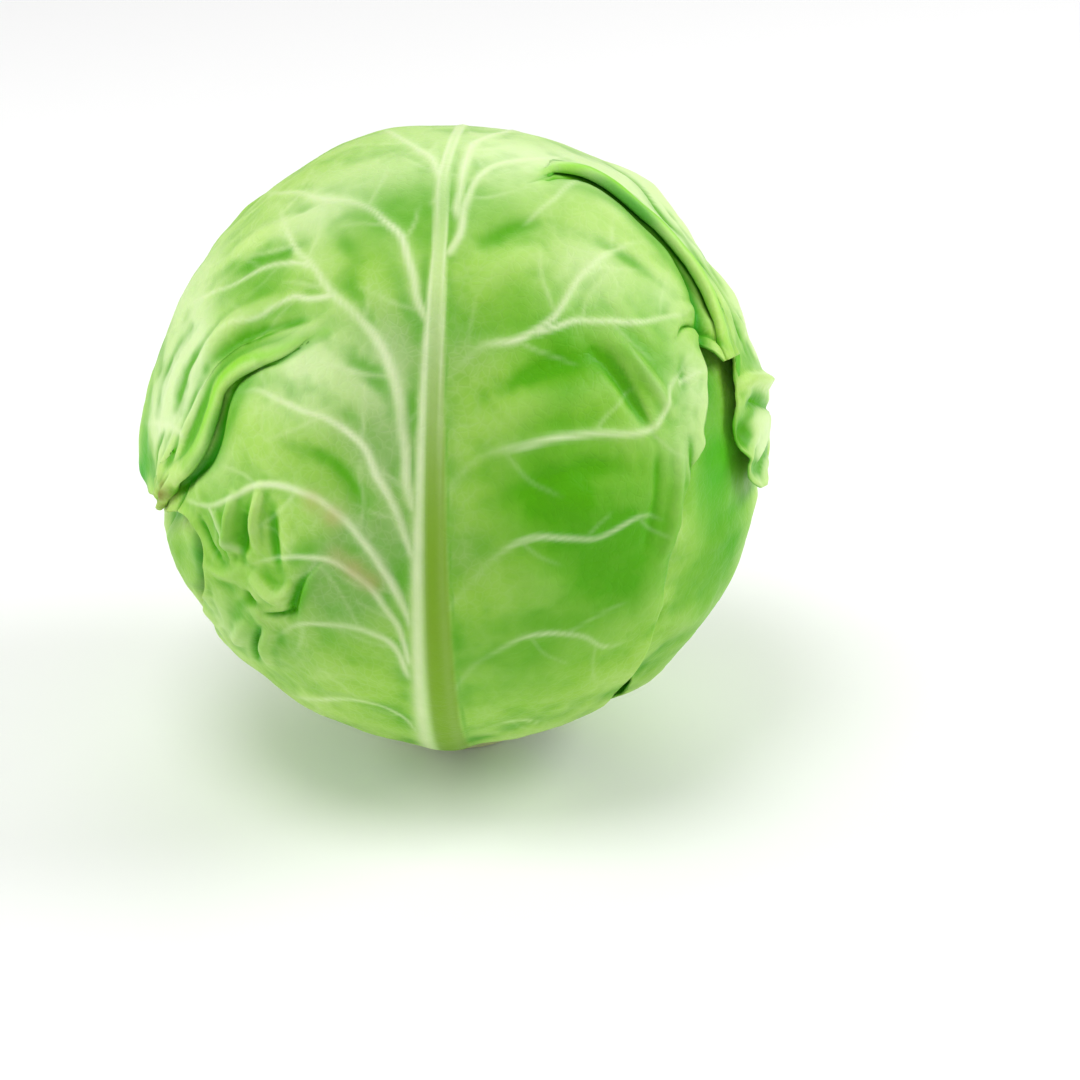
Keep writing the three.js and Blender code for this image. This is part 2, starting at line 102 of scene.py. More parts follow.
# Puffs of the blades, from broad to fine: (size, seed, height)
PUFFS = [(19, 5, 1.9), (7.5, 9, 0.7), (2.6, 15, 0.2)]

# Grid steps over which hollows and crests are told from what surrounds them
CLOSE_STEPS = 4
BROAD_STEPS = 12

# The photograph's frame and the head's circle in it
FRAME_PIXELS = 1080
HEAD_CENTRE_PIXEL = (458.3, 436.1)
HEAD_RADIUS_PIXELS = 308.0
CAMERA_DISTANCE = 1000.0
CAMERA_ELEVATION = 24.0
SENSOR_WIDTH = 36.0

# The studio, in metres and watts, its tints from 0 to 1; a light is (name, place, size, power, tint)
FLOOR_SIZE = 40.0
FLOOR_Z = -0.0004
FLOOR_WHITE = (0.93, 0.93, 0.93, 1)
WORLD_STRENGTH = 0.36
LIGHTS = [
    ("key_light", (-0.3, -0.35, 1.5), 0.7, 7.6, (1, 1, 0.99)),
    ("right_light", (1.2, 0.1, 0.8), 0.8, 12, (1, 1, 1)),
    ("left_light", (-1.3, 0.1, 0.7), 0.8, 8.4, (1, 1, 1)),
    ("back_light", (0.2, 1.3, 1.2), 1.0, 5, (1, 1, 1)),
    ("front_light", (-0.2, -1.4, 0.45), 0.9, 2.6, (1, 1, 1)),
]

# Colours, as red, green and blue on a screen from 0 to 255
BLADE = (146, 201, 58)
# BRIGHT is the lighter tone of the clouds, and also a painted highlight on crests
BRIGHT = (192, 229, 122)
# DARK is the leaves' own darker green and painted shade in hollows, folds and grooves
DARK = (80, 164, 0)
PALE = (226, 241, 192)
BLOOM = (122, 170, 82)
# A pale tone, partly the leaves' own pale and partly a painted highlight on tops, margins and frills
PALE_HIGHLIGHT = (214, 238, 176)
# The midrib's olive, partly its own colour and partly painted shade on its shaded side
OLIVE = (120, 164, 26)
PINKISH = (184, 160, 104)
BROWN = (122, 112, 40)
INNER = (84, 184, 14)
TIP = (66, 170, 0)
# A painted highlight on the pleats' lips, partly their own vivid green
LIP_HIGHLIGHT = (132, 214, 0)
# Painted shade, the darkest green, down in creases and gaps
CREASE_SHADE = (30, 150, 0)
# A darker copy of the leaf greens for the right leaf, which lies under the others: painted shade
SHADED_UNDER_BLADE = (112, 180, 58)
SHADED_UNDER_BRIGHT = (140, 200, 84)
HEART_PALE = (196, 222, 140)
HEART_GREEN = (168, 206, 100)
HEART_VEIN = (226, 236, 196)
STUMP_PALE = (226, 228, 190)
STUMP_GREENISH = (198, 206, 146)
STUMP_RING = (176, 168, 112)

# Clouds and nets of fine veins in the colours: cells in millimetres, scales as the shader takes them
CLOUD_SCALE = 24.0
MOTTLE_SCALE = 130.0
GRAIN_SCALE = 900.0
COARSE_NET_CELL = 8.0
FINE_NET_CELL = 2.6
HEART_NET_CELL = 11.0
NET_LINE_SHARE = 0.16
NET_WARP_SCALE = 90.0
NET_WARP = 0.006

# The pleats where the front leaf's hood laps over its apron; the profile is (across, outwards)
PLEAT_WIDTH = 2.2
PLEAT_HEIGHT_LEFT = 2.4
PLEAT_HEIGHT_RIGHT = 3.3
PLEAT_START = -1.5
PLEAT_END = 3.5
LEFT_PLEAT_FADE = (0.4, 0.24)
RIGHT_PLEAT_FADE = (0.63, 0.74)
PLEAT_PROFILE = [
    (-1.5, 0), (0, -0.4), (0.8, -0.42), (1, -0.16), (0.5, 0.1),
    (-0.6, 0.2), (-1, 0.5), (-0.65, 0.92), (0.6, 0.85), (2, 0.3), (3.5, 0),
]
# Where the right pleat's lip begins to sink towards the leaf's margin, and by what share
LIP_SINKS_FROM = 0.91
LIP_SINK = 0.8

# Guide rows of the leaves, as (round, up) in degrees, left margin to right margin
FRONT_APRON_GUIDES = [
    [(-47, -76), (-33, -76), (-19, -76), (-5, -76), (9, -76), (23, -76), (37, -76)],
    [(-74, -46), (-52, -44), (-28, -42), (-5, -42), (12, -42), (27, -40), (40, -38)],
    [(-61, -24), (-44, -20), (-25, -18), (-5, -18), (11, -14), (26, -10), (40, -8)],
    [(-53, -13), (-41, -8), (-25, -4), (-5, 2), (12, 6), (28, 8), (43, 6)],
    [(-52, -5), (-41, 3), (-25, 10), (-5, 24), (16, 30), (35, 25), (52, 16)],
    [(-56, 0), (-45, 10), (-30, 24), (-5, 44), (26, 53), (52, 38), (60, 31)],
]
# The fold line of the pleats: (share across the leaf, round, up)
PLEAT_LINE = [
    (0, -65, -1), (0.04, -60, 5), (0.08, -55, 10), (0.12, -52, 15), (0.16, -51, 20), (0.2, -51, 25),
    (0.24, -48, 29), (0.28, -43, 32), (0.33, -35, 36), (0.42, -20, 48), (0.5, -5, 61), (0.6, 28, 71),
    (0.67, 56, 71), (0.7, 68, 70), (0.73, 76, 66), (0.76, 76, 60), (0.79, 74, 54), (0.82, 75, 48),
    (0.86, 75, 42), (0.9, 73, 37), (0.94, 71, 32), (0.97, 69, 28), (1, 68, 24),
]
FRONT_HOOD_GUIDES = [
    [(-72, -3), (-60, 21), (-44, 45), (-8, 76), (87, 68), (87, 36), (62, 13)],
    [(-86, -4), (-76, 32), (-62, 62), (175, 87), (118, 58), (94, 24), (67, 0)],
    [(-99, 6), (-96, 40), (-100, 66), (175, 70), (140, 50), (110, 20), (88, -3)],
    [(-110, 22), (-121, 42), (-144, 56), (176, 55), (152, 43), (126, 27), (107, 10)],
]
BACK_GUIDES = [
    [(108, -76), (122, -76), (136, -76), (150, -76), (164, -76), (178, -76), (192, -76)],
    [(54, -50), (80, -49), (118, -47), (152, -46), (172, -47), (188, -49), (204, -50)],
    [(38, -20), (62, -18), (108, -12), (152, -10), (176, -11), (194, -13), (212, -16)],
    [(47, 18), (68, 6), (110, 12), (152, 22), (178, 20), (197, 16), (215, 12)],
    [(56, 32), (80, 22), (118, 30), (153, 38), (180, 35), (198, 30), (214, 24)],
    [(78, 36), (97, 38), (124, 48), (155, 56), (181, 52), (199, 46), (214, 38)],
    [(90, 48), (104, 59), (126, 68), (152, 76), (180, 72), (200, 66), (212, 60)],
]
LEFT_GUIDES = [
    [(-159, -76), (-134, -76), (-109, -76), (-84, -76), (-59, -76)],
    [(-165, -46), (-136, -46), (-109, -44), (-80, -46), (-55, -48)],
    [(-168, -14), (-136, -14), (-108, -12), (-80, -14), (-51, -18)],
    [(-166, 16), (-136, 18), (-107, 18), (-80, 12), (-48, -2)],
    [(-158, 62), (-134, 62), (-106, 56), (-82, 44), (-60, 22)],
]
RIGHT_GUIDES = [
    [(42, -76), (56, -76), (71, -76), (86, -76), (100, -76)],
    [(30, -44), (50, -46), (71, -46), (94, -46), (112, -44)],
    [(26, -6), (46, -8), (70, -8), (96, -8), (116, -6)],
    [(28, 28), (48, 32), (68, 34), (90, 32), (110, 26)],
    [(34, 44), (50, 50), (66, 52), (84, 50), (100, 44)],
]

# Where the hood's free edge runs, for the leaves under it
HOOD_EDGE = [
    (62, -1), (88, -4), (107, 9), (126, 26), (152, 42), (176, 53), (216, 54), (239, 41),
    (250, 20), (261, 5), (274, -6), (287, -5), (300, 2),
]
# Degrees from the hood's and the apron's edges over which those leaves come clear of them
HOOD_CLEARANCE = (1.5, 8)
APRON_CLEARANCE = (1, 5)
# How far the open parts of those leaves rise, and between which turns they begin to
BACK_LIFT = 2.2
BACK_LIFT_TURNS = (46, 60)
LEFT_LIFT = 5.0
LEFT_LIFT_TURNS = (218, 230)

# Swellings and hollows of the blades: (round, up, size in degrees, height)
FRONT_SWELLS = [
    (-88, -1, 7, 3.6), (-76, 1, 4, -0.8), (78, 10, 9, 1.6), (70, 60, 14, 1.2),
    (40, 30, 9, -0.7), (-62, -22, 7, 0.8), (-45, -14, 5, -0.9),
]
LEFT_SWELLS = [(-68, -14, 8, 1.2)]
BACK_SWELLS = [(66, 34, 11, -3.8)]
RIGHT_SWELLS = [(60, 0, 20, 0.8)]

# Side veins: (half width at the root, rise at the root, route of (round, up) from the midrib outwards)
FRONT_VEINS = [
    (1.3, 0.7, [(-8, 68), (-9, 74), (-27, 82), (-85, 83), (-134, 74), (-150, 66)]),
    (1.6, 0.9, [
        (-6, 42), (-9, 47), (-17, 59), (-31, 64), (-46, 66), (-61, 64), (-79, 60), (-100, 54), (-118, 50),
    ]),
    (1.0, 0.5, [(-41, 50), (-51, 50), (-59, 47), (-66, 41), (-76, 35), (-84, 30)]),
    (1.9, 1.0, [
        (-7, 10), (-9, 16), (-11, 30), (-18, 40), (-30, 46), (-41, 50), (-53, 53), (-72, 56), (-97, 55),
    ]),
    (1.0, 0.5, [(-31, 47), (-38, 45), (-43, 44), (-49, 39), (-56, 35), (-63, 28)]),
    (1.4, 0.8, [(-7, 2), (-10, 9), (-16, 20), (-24, 25), (-31, 26), (-40, 27), (-48, 25)]),
    (1.4, 0.8, [
        (-8, -12), (-10, -4), (-18, 7), (-27, 12), (-36, 12), (-44, 7), (-49, 4), (-55, 3), (-61, 2),
    ]),
    (0.8, 0.5, [(-49, 4), (-47, 2), (-44, -1), (-40, -3)]),
    (1.2, 0.6, [(-9, -20), (-11, -10), (-15, -3), (-23, 1), (-33, -1), (-43, -6)]),
    (1.1, 0.5, [(-9, -24), (-12, -15), (-17, -12), (-23, -12), (-30, -14), (-40, -22)]),
    (0.9, 0.4, [(-9, -46), (-13, -38), (-22, -33), (-36, -37), (-50, -44)]),
    (1.3, 0.7, [(1, 64), (6, 76), (57, 86), (126, 81), (147, 68), (152, 60)]),
    (1.4, 0.8, [(-2, 56), (1, 61), (7, 70), (22, 76), (44, 78), (80, 73), (107, 65)]),
    (1.5, 0.9, [
        (-3, 32), (1, 36), (6, 39), (13, 40), (19, 42), (26, 45), (34, 49), (40, 51), (50, 52), (61, 51),
        (71, 49),
    ]),
    (1.1, 0.6, [(17, 41), (27, 42), (42, 39), (53, 37), (64, 35)]),
    (1.5, 0.9, [
        (-3, 13), (2, 19), (7, 21), (14, 22), (27, 22), (37, 20), (42, 22), (46, 26), (51, 28), (59, 31),
    ]),
    (0.7, 0.4, [(48, 26), (52, 26), (57, 26)]),
    (1.2, 0.6, [(-3, -8), (2, -1), (7, 4), (14, 6), (24, 4), (34, 6), (40, 3)]),
    (1.1, 0.5, [(-3, -30), (2, -21), (10, -15), (20, -15), (29, -20), (36, -19)]),
    (0.8, 0.4, [(-4, -52), (4, -43), (14, -41), (26, -46)]),
    (0.7, 0.3, [(71, 66), (50, 66), (35, 64), (24, 62)]),
    (0.7, 0.4, [(-58, 14), (-66, 13), (-76, 10), (-88, 4)]),
]
BACK_VEINS = [
    (1.8, 1.0, [(148, -34), (135, -20), (118, -6), (98, 2), (78, 2)]),
    (1.6, 0.9, [(150, -8), (140, 8), (124, 22), (108, 30), (96, 33)]),
    (1.3, 0.7, [(151, 14), (144, 28), (134, 38), (122, 44)]),
    (1.8, 1.0, [(154, -34), (166, -20), (182, -8), (198, -4), (212, -8)]),
    (1.6, 0.9, [(154, -8), (164, 8), (178, 18), (196, 20), (212, 16)]),
    (1.3, 0.7, [(154, 16), (162, 28), (172, 36), (188, 38)]),
    (1.3, 0.6, [(148, -54), (128, -42), (104, -36), (80, -34), (60, -30)]),
    (1.3, 0.6, [(153, -54), (168, -42), (186, -36), (202, -34)]),
]
LEFT_VEINS = [
    (1.6, 0.9, [(-112, -34), (-124, -22), (-138, -14), (-152, -12)]),
    (1.3, 0.7, [(-111, -10), (-120, 2), (-132, 8), (-146, 8)]),
    (1.6, 0.9, [(-106, -34), (-94, -22), (-80, -16), (-66, -14)]),
    (1.3, 0.7, [(-106, -12), (-96, -2), (-86, 2), (-76, 0)]),
    (1.2, 0.6, [(-112, -54), (-126, -42), (-146, -36), (-162, -34)]),
    (1.2, 0.6, [(-106, -54), (-92, -44), (-76, -38), (-62, -36)]),
]
RIGHT_VEINS = [
    (1.3, 0.5, [(71, -30), (58, -12), (44, 2), (32, 6)]),
    (1.3, 0.5, [(71, -6), (62, 12), (54, 24), (46, 34)]),
    (1.3, 0.5, [(72, -30), (86, -12), (100, 2), (112, 6)]),
]

# Small forms of the front leaf: (half width, height, route); a height below 0 is a groove
FRONT_STROKES = [
    (0.9, -1.7, [(53, 33), (58, 34), (62, 33), (66, 30), (68, 26)]),
    (2.2, 0.9, [(54, 36), (60, 37), (66, 34), (70, 29)]),
    (1.8, 0.8, [(64, 36), (60, 30), (57, 25), (52, 19), (48, 12)]),
    (2.8, -2.2, [(30, 38), (35, 29), (38, 20)]),
    (2.4, 2.0, [(36, 38), (41, 29), (44, 22)]),
    (2.2, -0.8, [(48, 22), (50, 27), (54, 31)]),
    (2.0, 1.3, [(44, 18), (42, 8), (38, -4)]),
    (2.0, -1.2, [(39, 18), (37, 8), (34, -2)]),
    (1.3, -1.3, [(47, 16), (46, 8), (43, 0)]),
    (1.6, 1.2, [(51, 16), (49, 8), (45, -1)]),
    (1.2, -1.2, [(54, 14), (52, 8), (48, 0)]),
    (4.0, -1.6, [(6, 31), (20, 35), (34, 35)]),
    (4.5, -1.6, [(6, 12), (20, 16), (34, 15)]),
    (4.5, 1.3, [(8, 26), (20, 29), (34, 28)]),
    (1.0, -2.2, [(-30, -11), (-34, -13), (-38, -14)]),
    (2.4, 2.7, [(-29, -6), (-34, -9), (-40, -6)]),
    (1.4, -3.0, [(-40, -18), (-45, -25), (-49, -31)]),
    (2.4, 2.5, [(-37, -17), (-41, -23), (-44, -30)]),
    (2.2, 2.3, [(-44, -18), (-49, -24), (-53, -28)]),
    (1.7, -2.2, [(-27, -3), (-30, -8), (-32, -13)]),
    (1.5, 2.7, [(-43, 8), (-44, 2), (-44, -5)]),
    (2.0, -2.7, [(-40, 6), (-41, 1), (-41, -4)]),
    (1.5, 2.7, [(-37, 11), (-38, 5), (-38, -1)]),
    (2.2, -1.9, [(-34, 8), (-34, 2), (-33, -3)]),
    (1.5, 1.5, [(-48, 4), (-46, 1), (-43, -2), (-38, -3)]),
    (1.0, -2.4, [(-55, -1), (-56, -5), (-57, -10), (-58, -15)]),
    (2.0, 1.2, [(-54, -5), (-54, -12), (-55, -18)]),
    (1.4, -1.9, [(-52, 1), (-50, -3), (-47, -6)]),
    (2.2, 1.4, [(-50, -10), (-45, -8), (-40, -3)]),
    (1.9, 1.7, [(-60, 7), (-59, 13), (-57, 21), (-54, 27)]),
    (2.4, -1.5, [(-58, 27), (-51, 34), (-42, 39), (-34, 42)]),
    (2.6, 1.4, [(-64, 24), (-56, 36), (-44, 44)]),
    (2.4, 0.7, [(-62, 16), (-61, 25), (-57, 33)]),
    (2.4, -0.8, [(-66, 14), (-66, 24), (-61, 34)]),
    (2.6, 0.8, [(-71, 12), (-71, 22), (-66, 33)]),
    (2.6, -0.6, [(-76, 12), (-77, 22), (-72, 32)]),
    (1.6, -1.0, [(-72, 2), (-71, 7), (-68, 12)]),
    (1.6, 0.8, [(-66, 3), (-64, 9), (-62, 15)]),
    (0.8, 1.0, [(-57, 8), (-61, 4), (-64, -1), (-65, -6)]),
    (0.8, -1.0, [(-60, 7), (-63, 3), (-66, -2)]),
    (0.7, 0.9, [(-65, 9), (-65, 4), (-67, -1)]),
    (0.8, -0.9, [(-57, 4), (-59, 0), (-61, -5)]),
    (1.8, -1.7, [(114, 57), (104, 53), (94, 50), (89, 45)]),
    (2.4, 1.9, [(124, 56), (112, 51), (102, 46), (97, 38)]),
    (1.8, -1.8, [(88, 40), (86, 34), (82, 28), (79, 22)]),
    (2.2, 1.6, [(95, 34), (90, 28), (87, 20)]),
    (1.6, 3.4, [(66, 19), (73, 18), (82, 14), (94, 9)]),
    (1.6, -2.6, [(66, 15), (73, 14), (82, 9), (92, 4)]),
    (1.6, 2.2, [(62, 17), (59, 13), (60, 9), (64, 7), (70, 8)]),
    (2.0, -1.8, [(66, 4), (71, 2), (78, 2), (86, -2)]),
    (2.0, 1.8, [(64, 2), (70, -2), (78, -2)]),
    (2.4, 0.9, [(80, 32), (84, 24), (86, 16)]),
    (4.6, -0.8, [(60, 44), (54, 50), (40, 58)]),
    (4.0, 1.2, [(4, 48), (16, 54), (30, 56)]),
    (4.0, -1.2, [(6, 57), (20, 62), (36, 62)]),
    (4.0, 1.1, [(-10, 34), (-18, 46), (-30, 54)]),
    (4.6, -0.7, [(-22, 46), (-34, 56), (-52, 60)]),
    (3.4, -1.0, [(-14, 8), (-22, 18), (-36, 20)]),
    (3.6, 1.0, [(-14, 26), (-22, 32), (-32, 36)]),
    (4.4, -0.7, [(-76, 40), (-60, 50), (-40, 57)]),
    (3.4, 1.0, [(-80, 40), (-70, 52), (-52, 62)]),
    (3.0, 0.8, [(64, 40), (60, 46), (54, 54)]),
    (2.6, 0.6, [(40, 46), (44, 38), (50, 30)]),
]
# Valleys beside the creases: (half widths and depths at both ends, route)
FRONT_TROUGHS = [
    ((1.0, 2.0), (0.8, 1.6), [(54, 70), (64, 69), (73, 65), (74, 59), (72, 53), (73, 47)]),
    ((1.4, 3.8), (1.2, 3.4), [(73, 52), (73, 46), (71, 40), (68, 36), (65, 32), (61, 28)]),
    ((1.1, 3.1), (0.8, 3.6), [
        (-38, 34), (-44, 31), (-48, 27), (-49, 22), (-49, 17), (-51, 12), (-55, 8), (-58, 5),
    ]),
]
# Small pits and knobs, told as the swellings are
FRONT_PITS = [
    (-41, -12, 1.5, -2.6), (-39, -10, 1.5, 0.9), (-60, 3, 2.0, -1.0), (-57, 5, 1.6, 1.1),
    (65, 11, 2.4, -3.0), (-64, 0, 1.5, -1.2), (-62, -3, 1.6, 1.0),
]
# Where the blade is finely wrinkled: (round, up, size in degrees, share)
FRONT_WRINKLES = [
    (-50, -14, 14, 1.0), (62, 20, 10, 0.8), (-62, 2, 8, 0.8), (-78, 10, 12, 0.3), (84, 14, 14, 0.8),
    (48, 12, 9, 0.6), (-52, 30, 10, 0.4), (100, 44, 14, 0.5),
]
# Where the front leaf's side veins sink into the blade, just right of the midrib: share, then degrees
SUNK_SHARE = 0.85
SUNK_FROM_LEFT = (-6, -3)
SUNK_FROM_RIGHT = (15, 4)
SUNK_FROM_TOP = (52, 38)
# The short wrinkled steps: (height, fall-off, route)
FRONT_STEPS = [
    (1.7, 5.0, [(-24, 0), (-27, -4), (-29, -9), (-30, -13)]),
    (1.0, 6.0, [(34, 38), (37, 30), (39, 19)]),
]
# Bands of painted shade, a deeper green, along the folds and grooves: (half width, share, route)
FRONT_GROOVE_SHADES = [
    (3.0, 0.7, [(50, 67), (64, 65), (69, 58), (68, 50), (68, 42), (65, 36), (60, 30)]),
    (2.6, 0.8, [(-34, 38), (-44, 35), (-51, 30), (-54, 24), (-54, 17), (-56, 10)]),
    (3.2, 0.7, [(-38, 30), (-44, 27), (-46, 21), (-48, 14), (-52, 8)]),
    (3.0, 0.6, [(-60, 24), (-54, 33), (-44, 41), (-36, 43)]),
    (2.4, 1.0, [(-40, 6), (-41, 1), (-41, -5)]),
    (2.0, 0.9, [(-34, 9), (-34, 2), (-33, -4)]),
    (2.6, 1.0, [(-26, -3), (-29, -8), (-31, -13)]),
    (2.6, 1.0, [(-40, -18), (-45, -25), (-49, -31)]),
    (2.6, 0.8, [(-36, -12), (-42, -13), (-48, -18)]),
    (2.6, 0.7, [(-50, 2), (-49, -3), (-48, -8)]),
    (3.0, 0.7, [(-24, 4), (-28, 1), (-31, -2)]),
    (5.0, 0.5, [(8, 30), (20, 33), (34, 34)]),
    (5.0, 0.5, [(8, 10), (20, 13), (32, 12)]),
    (3.4, 0.6, [(100, 54), (92, 50), (88, 42), (85, 34), (81, 26), (78, 20)]),
    (2.4, 0.8, [(60, 12), (66, 13), (74, 13), (84, 8)]),
]
# Bands of painted highlight, a lit bright green, on the pleats' lips, partly their own vivid green: (half
# width, share, route)
FRONT_LIP_HIGHLIGHTS = [
    (2.5, 1.0, [
        (54, 70), (62, 71), (70, 69), (77, 65), (76, 59), (75, 53), (76, 47), (76, 41), (74, 36), (72, 31),
        (70, 27),
    ]),
    (1.7, 0.85, [(-30, 40), (-40, 34), (-47, 31), (-51, 26), (-52, 20), (-53, 15), (-56, 10)]),
]
# Bands of the deepest painted shade, a dark green, down in the folds and grooves: (half width, share,
# route)
FRONT_CREASE_SHADES = [
    (2.2, 0.9, [(-42, 31), (-47, 26), (-49, 20), (-50, 14), (-54, 9)]),
    (1.7, 0.9, [(56, 69), (68, 67), (73, 62), (72, 55), (71, 48), (71, 42), (69, 36), (65, 31)]),
    (1.2, 0.7, [(-55, -1), (-56, -6), (-57, -11), (-58, -16)]),
    (1.3, 0.45, [(-40, 6), (-41, 1), (-41, -4)]),
    (1.2, 0.4, [(-34, 8), (-34, 2), (-33, -3)]),
    (1.3, 0.55, [(-27, -3), (-30, -8), (-32, -13)]),
    (1.4, 0.6, [(-40, -18), (-45, -25), (-49, -31)]),
    (1.1, 0.5, [(-30, -11), (-34, -13), (-38, -14)]),
    (1.2, 0.4, [(-52, 1), (-50, -3), (-47, -6)]),
]
# The bright green point at the left margin: (half width, share, route)
FRONT_TIPS = [(7.0, 1.2, [(-83, 11), (-82, 4), (-82, -2), (-87, -5), (-96, -1), (-104, 6), (-112, 16)])]
# Clouds of colour: (round, up, size in degrees, share); the darker green clouds are partly painted shade,
# the pale highlight clouds partly painted highlight
FRONT_TINTS = {
    "dark_green_and_shade": [
        (16, 14, 12, 0.9), (30, -2, 15, 1.0), (42, 32, 10, 0.6), (-46, 0, 10, 0.55), (-44, -20, 9, 0.4),
        (-54, 44, 6, 0.5), (22, 34, 8, 0.7), (40, 12, 9, 0.3), (-28, 16, 7, 0.2), (-20, -14, 9, 0.2),
        (-30, 62, 8, 0.3), (-24, 68, 10, 0.5), (16, 66, 9, 0.4), (26, 42, 8, 0.3), (10, -20, 14, 0.6),
        (80, 26, 3, 0.4), (64, 12, 4, 0.8), (-64, 40, 5, 0.4), (14, 46, 7, 0.4),
    ],
    "bloom": [
        (-12, 40, 10, 0.9), (-13, 22, 10, 1.0), (-13, 4, 9, 1.0), (2, 4, 5, 0.6), (-22, -6, 9, 0.9),
        (-20, 0, 8, 0.5), (-34, -20, 9, 0.5), (4, 40, 6, 0.5),
    ],
    "pale_highlight": [
        (-50, 72, 14, 0.5), (20, 72, 10, 0.3), (-58, 60, 9, 0.6), (-74, 12, 7, 0.8), (-84, 32, 14, 0.8),
        (40, 50, 10, 0.6), (150, 76, 24, 0.6), (100, 46, 14, 1.2), (92, 20, 11, 1.2), (74, 6, 9, 1.0),
        (88, 56, 10, 1.2), (70, 76, 9, 0.6), (-62, 22, 7, 1.0), (-66, 30, 7, 0.6), (96, 60, 9, 0.8),
        (-32, 33, 9, 0.9), (-16, 33, 6, 0.5), (-70, 18, 8, 1.0), (-52, -22, 8, 0.5), (52, 24, 7, 0.8),
        (46, 14, 6, 0.6), (-48, 12, 6, 0.4), (58, 40, 6, 0.5),
    ],
    "pink": [(-22, 9, 2, 0.9), (-26, 11, 2, 0.7), (-15, -2, 2, 0.9), (-18, 0, 2, 1.0), (-21, 2, 2, 0.6)],
    "brown": [(-63, 1, 3, 1.0), (-57, -3, 2, 0.8), (-38, -14, 2, 0.4)],
}
# The other leaves' clouds are told the same way; their darker green is partly painted shade and their
# crease shade is painted shade in the gaps beside the front leaf
BACK_TINTS = {
    "dark_green_and_shade": [(60, -8, 12, 0.8), (130, 10, 16, 0.6), (180, 6, 16, 0.6), (60, -30, 18, 0.5)],
    "tip": [(57, 8, 10, 1.1)],
    "deep": [(58, 24, 8, 1.0)],
    "bloom": [(142, -10, 12, 0.7), (164, 26, 12, 0.6), (104, -26, 14, 0.5)],
    "pale_highlight": [(150, 50, 16, 0.5)],
}
LEFT_TINTS = {
    "dark_green_and_shade": [(-66, -10, 9, 0.5), (-130, -4, 16, 0.6), (-90, -24, 12, 0.4)],
    "deep": [(-54, -4, 3, 0.9), (-55, -9, 3, 1.0), (-56, -14, 3, 0.9), (-59, -19, 3, 0.7)],
    "bloom": [(-100, 8, 12, 0.6), (-118, -30, 14, 0.6)],
}
RIGHT_TINTS = {"tip": [(60, 20, 30, 0.6)]}
BACK_WRINKLES = [(58, 4, 12, 0.7), (180, 40, 16, 0.5), (206, 0, 14, 0.7), (66, -30, 12, 0.5)]
LEFT_WRINKLES = [(-68, -12, 12, 0.8), (-150, -20, 14, 0.6)]
RIGHT_WRINKLES = [(60, 20, 20, 0.6)]


# Directions, curves and the surface of the head

def direction(turn, up):
    """Unit vectors from degrees round the head and degrees up from its girth."""
    a, b = np.radians(turn), np.radians(up)
    return np.stack([np.sin(a) * np.cos(b), -np.cos(a) * np.cos(b), np.sin(b) + 0 * a], axis=-1)


def unit(vectors):
    return vectors / np.linalg.norm(vectors, axis=-1, keepdims=True)


def turn_of(d):
    return np.degrees(np.arctan2(d[..., 0], -d[..., 1])) % 360


def up_of(d):
    return np.degrees(np.arcsin(np.clip(d[..., 2], -1, 1)))


def fade(start, end, x):
    """0 at start and 1 at end, smooth between them and held beyond; start may be the larger."""
    t = np.clip((x - start) / (end - start), 0, 1)
    return t * t * (3 - 2 * t)


def spline(points, t):
    """A smooth curve through the first axis of points, read at each t from 0 to 1."""
    points = np.asarray(points, float)
    first = 2 * points[0] - points[1]
    last = 2 * points[-1] - points[-2]
    padded = np.concatenate([first[None], points, last[None]])
    t = np.atleast_1d(np.asarray(t, float)) * (len(points) - 1)
    i = np.minimum(t.astype(int), len(points) - 2)
    f = (t - i).reshape(-1, *([1] * (points.ndim - 1)))
    p0, p1, p2, p3 = (padded[i + k] for k in range(4))
    bend = 2 * p0 - 5 * p1 + 4 * p2 - p3
    twist = 3 * (p1 - p2) + p3 - p0
    return p1 + 0.5 * f * (p2 - p0 + f * (bend + f * twist))


def guide_directions(guides):
    guides = np.array(guides, float)
    return direction(guides[..., 0], guides[..., 1])


def rows_at(guides, columns):
    """Each guide row read at every column: guides x columns x 3."""
    return unit(spline(np.swapaxes(guides, 0, 1), columns)).swapaxes(0, 1)


def lumps(d):
    """The uneven ball of the head, as its solids have it."""
    x, y, z = d[..., 0], d[..., 1], d[..., 2]
    broad = np.sin(3.1 * x + 1.7 * z) * np.cos(2.6 * y - 1.1 * z)
    small = np.sin(6.3 * x - 4.1 * y + 2) * np.sin(5.2 * z + 1.3 * x)
    return LUMP_HEIGHT * (broad + 0.5 * small)


def on_head(d, height):
    """Places in millimetres that stand a height above the lumpy ball."""
    reach = HEAD_RADIUS + height + lumps(d)
    return d * reach[..., None] + np.array([0, 0, HEAD_CENTRE_Z])


def angle_between(d, turn, up):
    return np.degrees(np.arccos(np.clip(d @ direction(turn, up), -1, 1)))


def swells(d, patches):
    """The sum of round soft patches."""
    height = np.zeros(d.shape[:-1])
    for turn, up, size, rise in patches:
        height += rise * np.exp(-((angle_between(d, turn, up) / size) ** 2))
    return height


def read_line(points, x):
    places, values = np.array(points, float).T
    return np.interp(x, places, values)


def clear_of_hood(d):
    """1 where an under leaf lies open below the hood's free edge, 0 where the hood covers it."""
    edge = read_line(HOOD_EDGE, turn_of(d))
    begins, ends = HOOD_CLEARANCE
    return fade(edge - begins, edge - ends, up_of(d))


def apron_left_edge(up):
    """How far round the apron's left margin lies at each height."""
    margin = spline(guide_directions(FRONT_APRON_GUIDES)[:, 0], np.linspace(0, 1, 80))
    return np.interp(up, up_of(margin), turn_of(margin))


def front_height(d):
    return swells(d, FRONT_SWELLS)


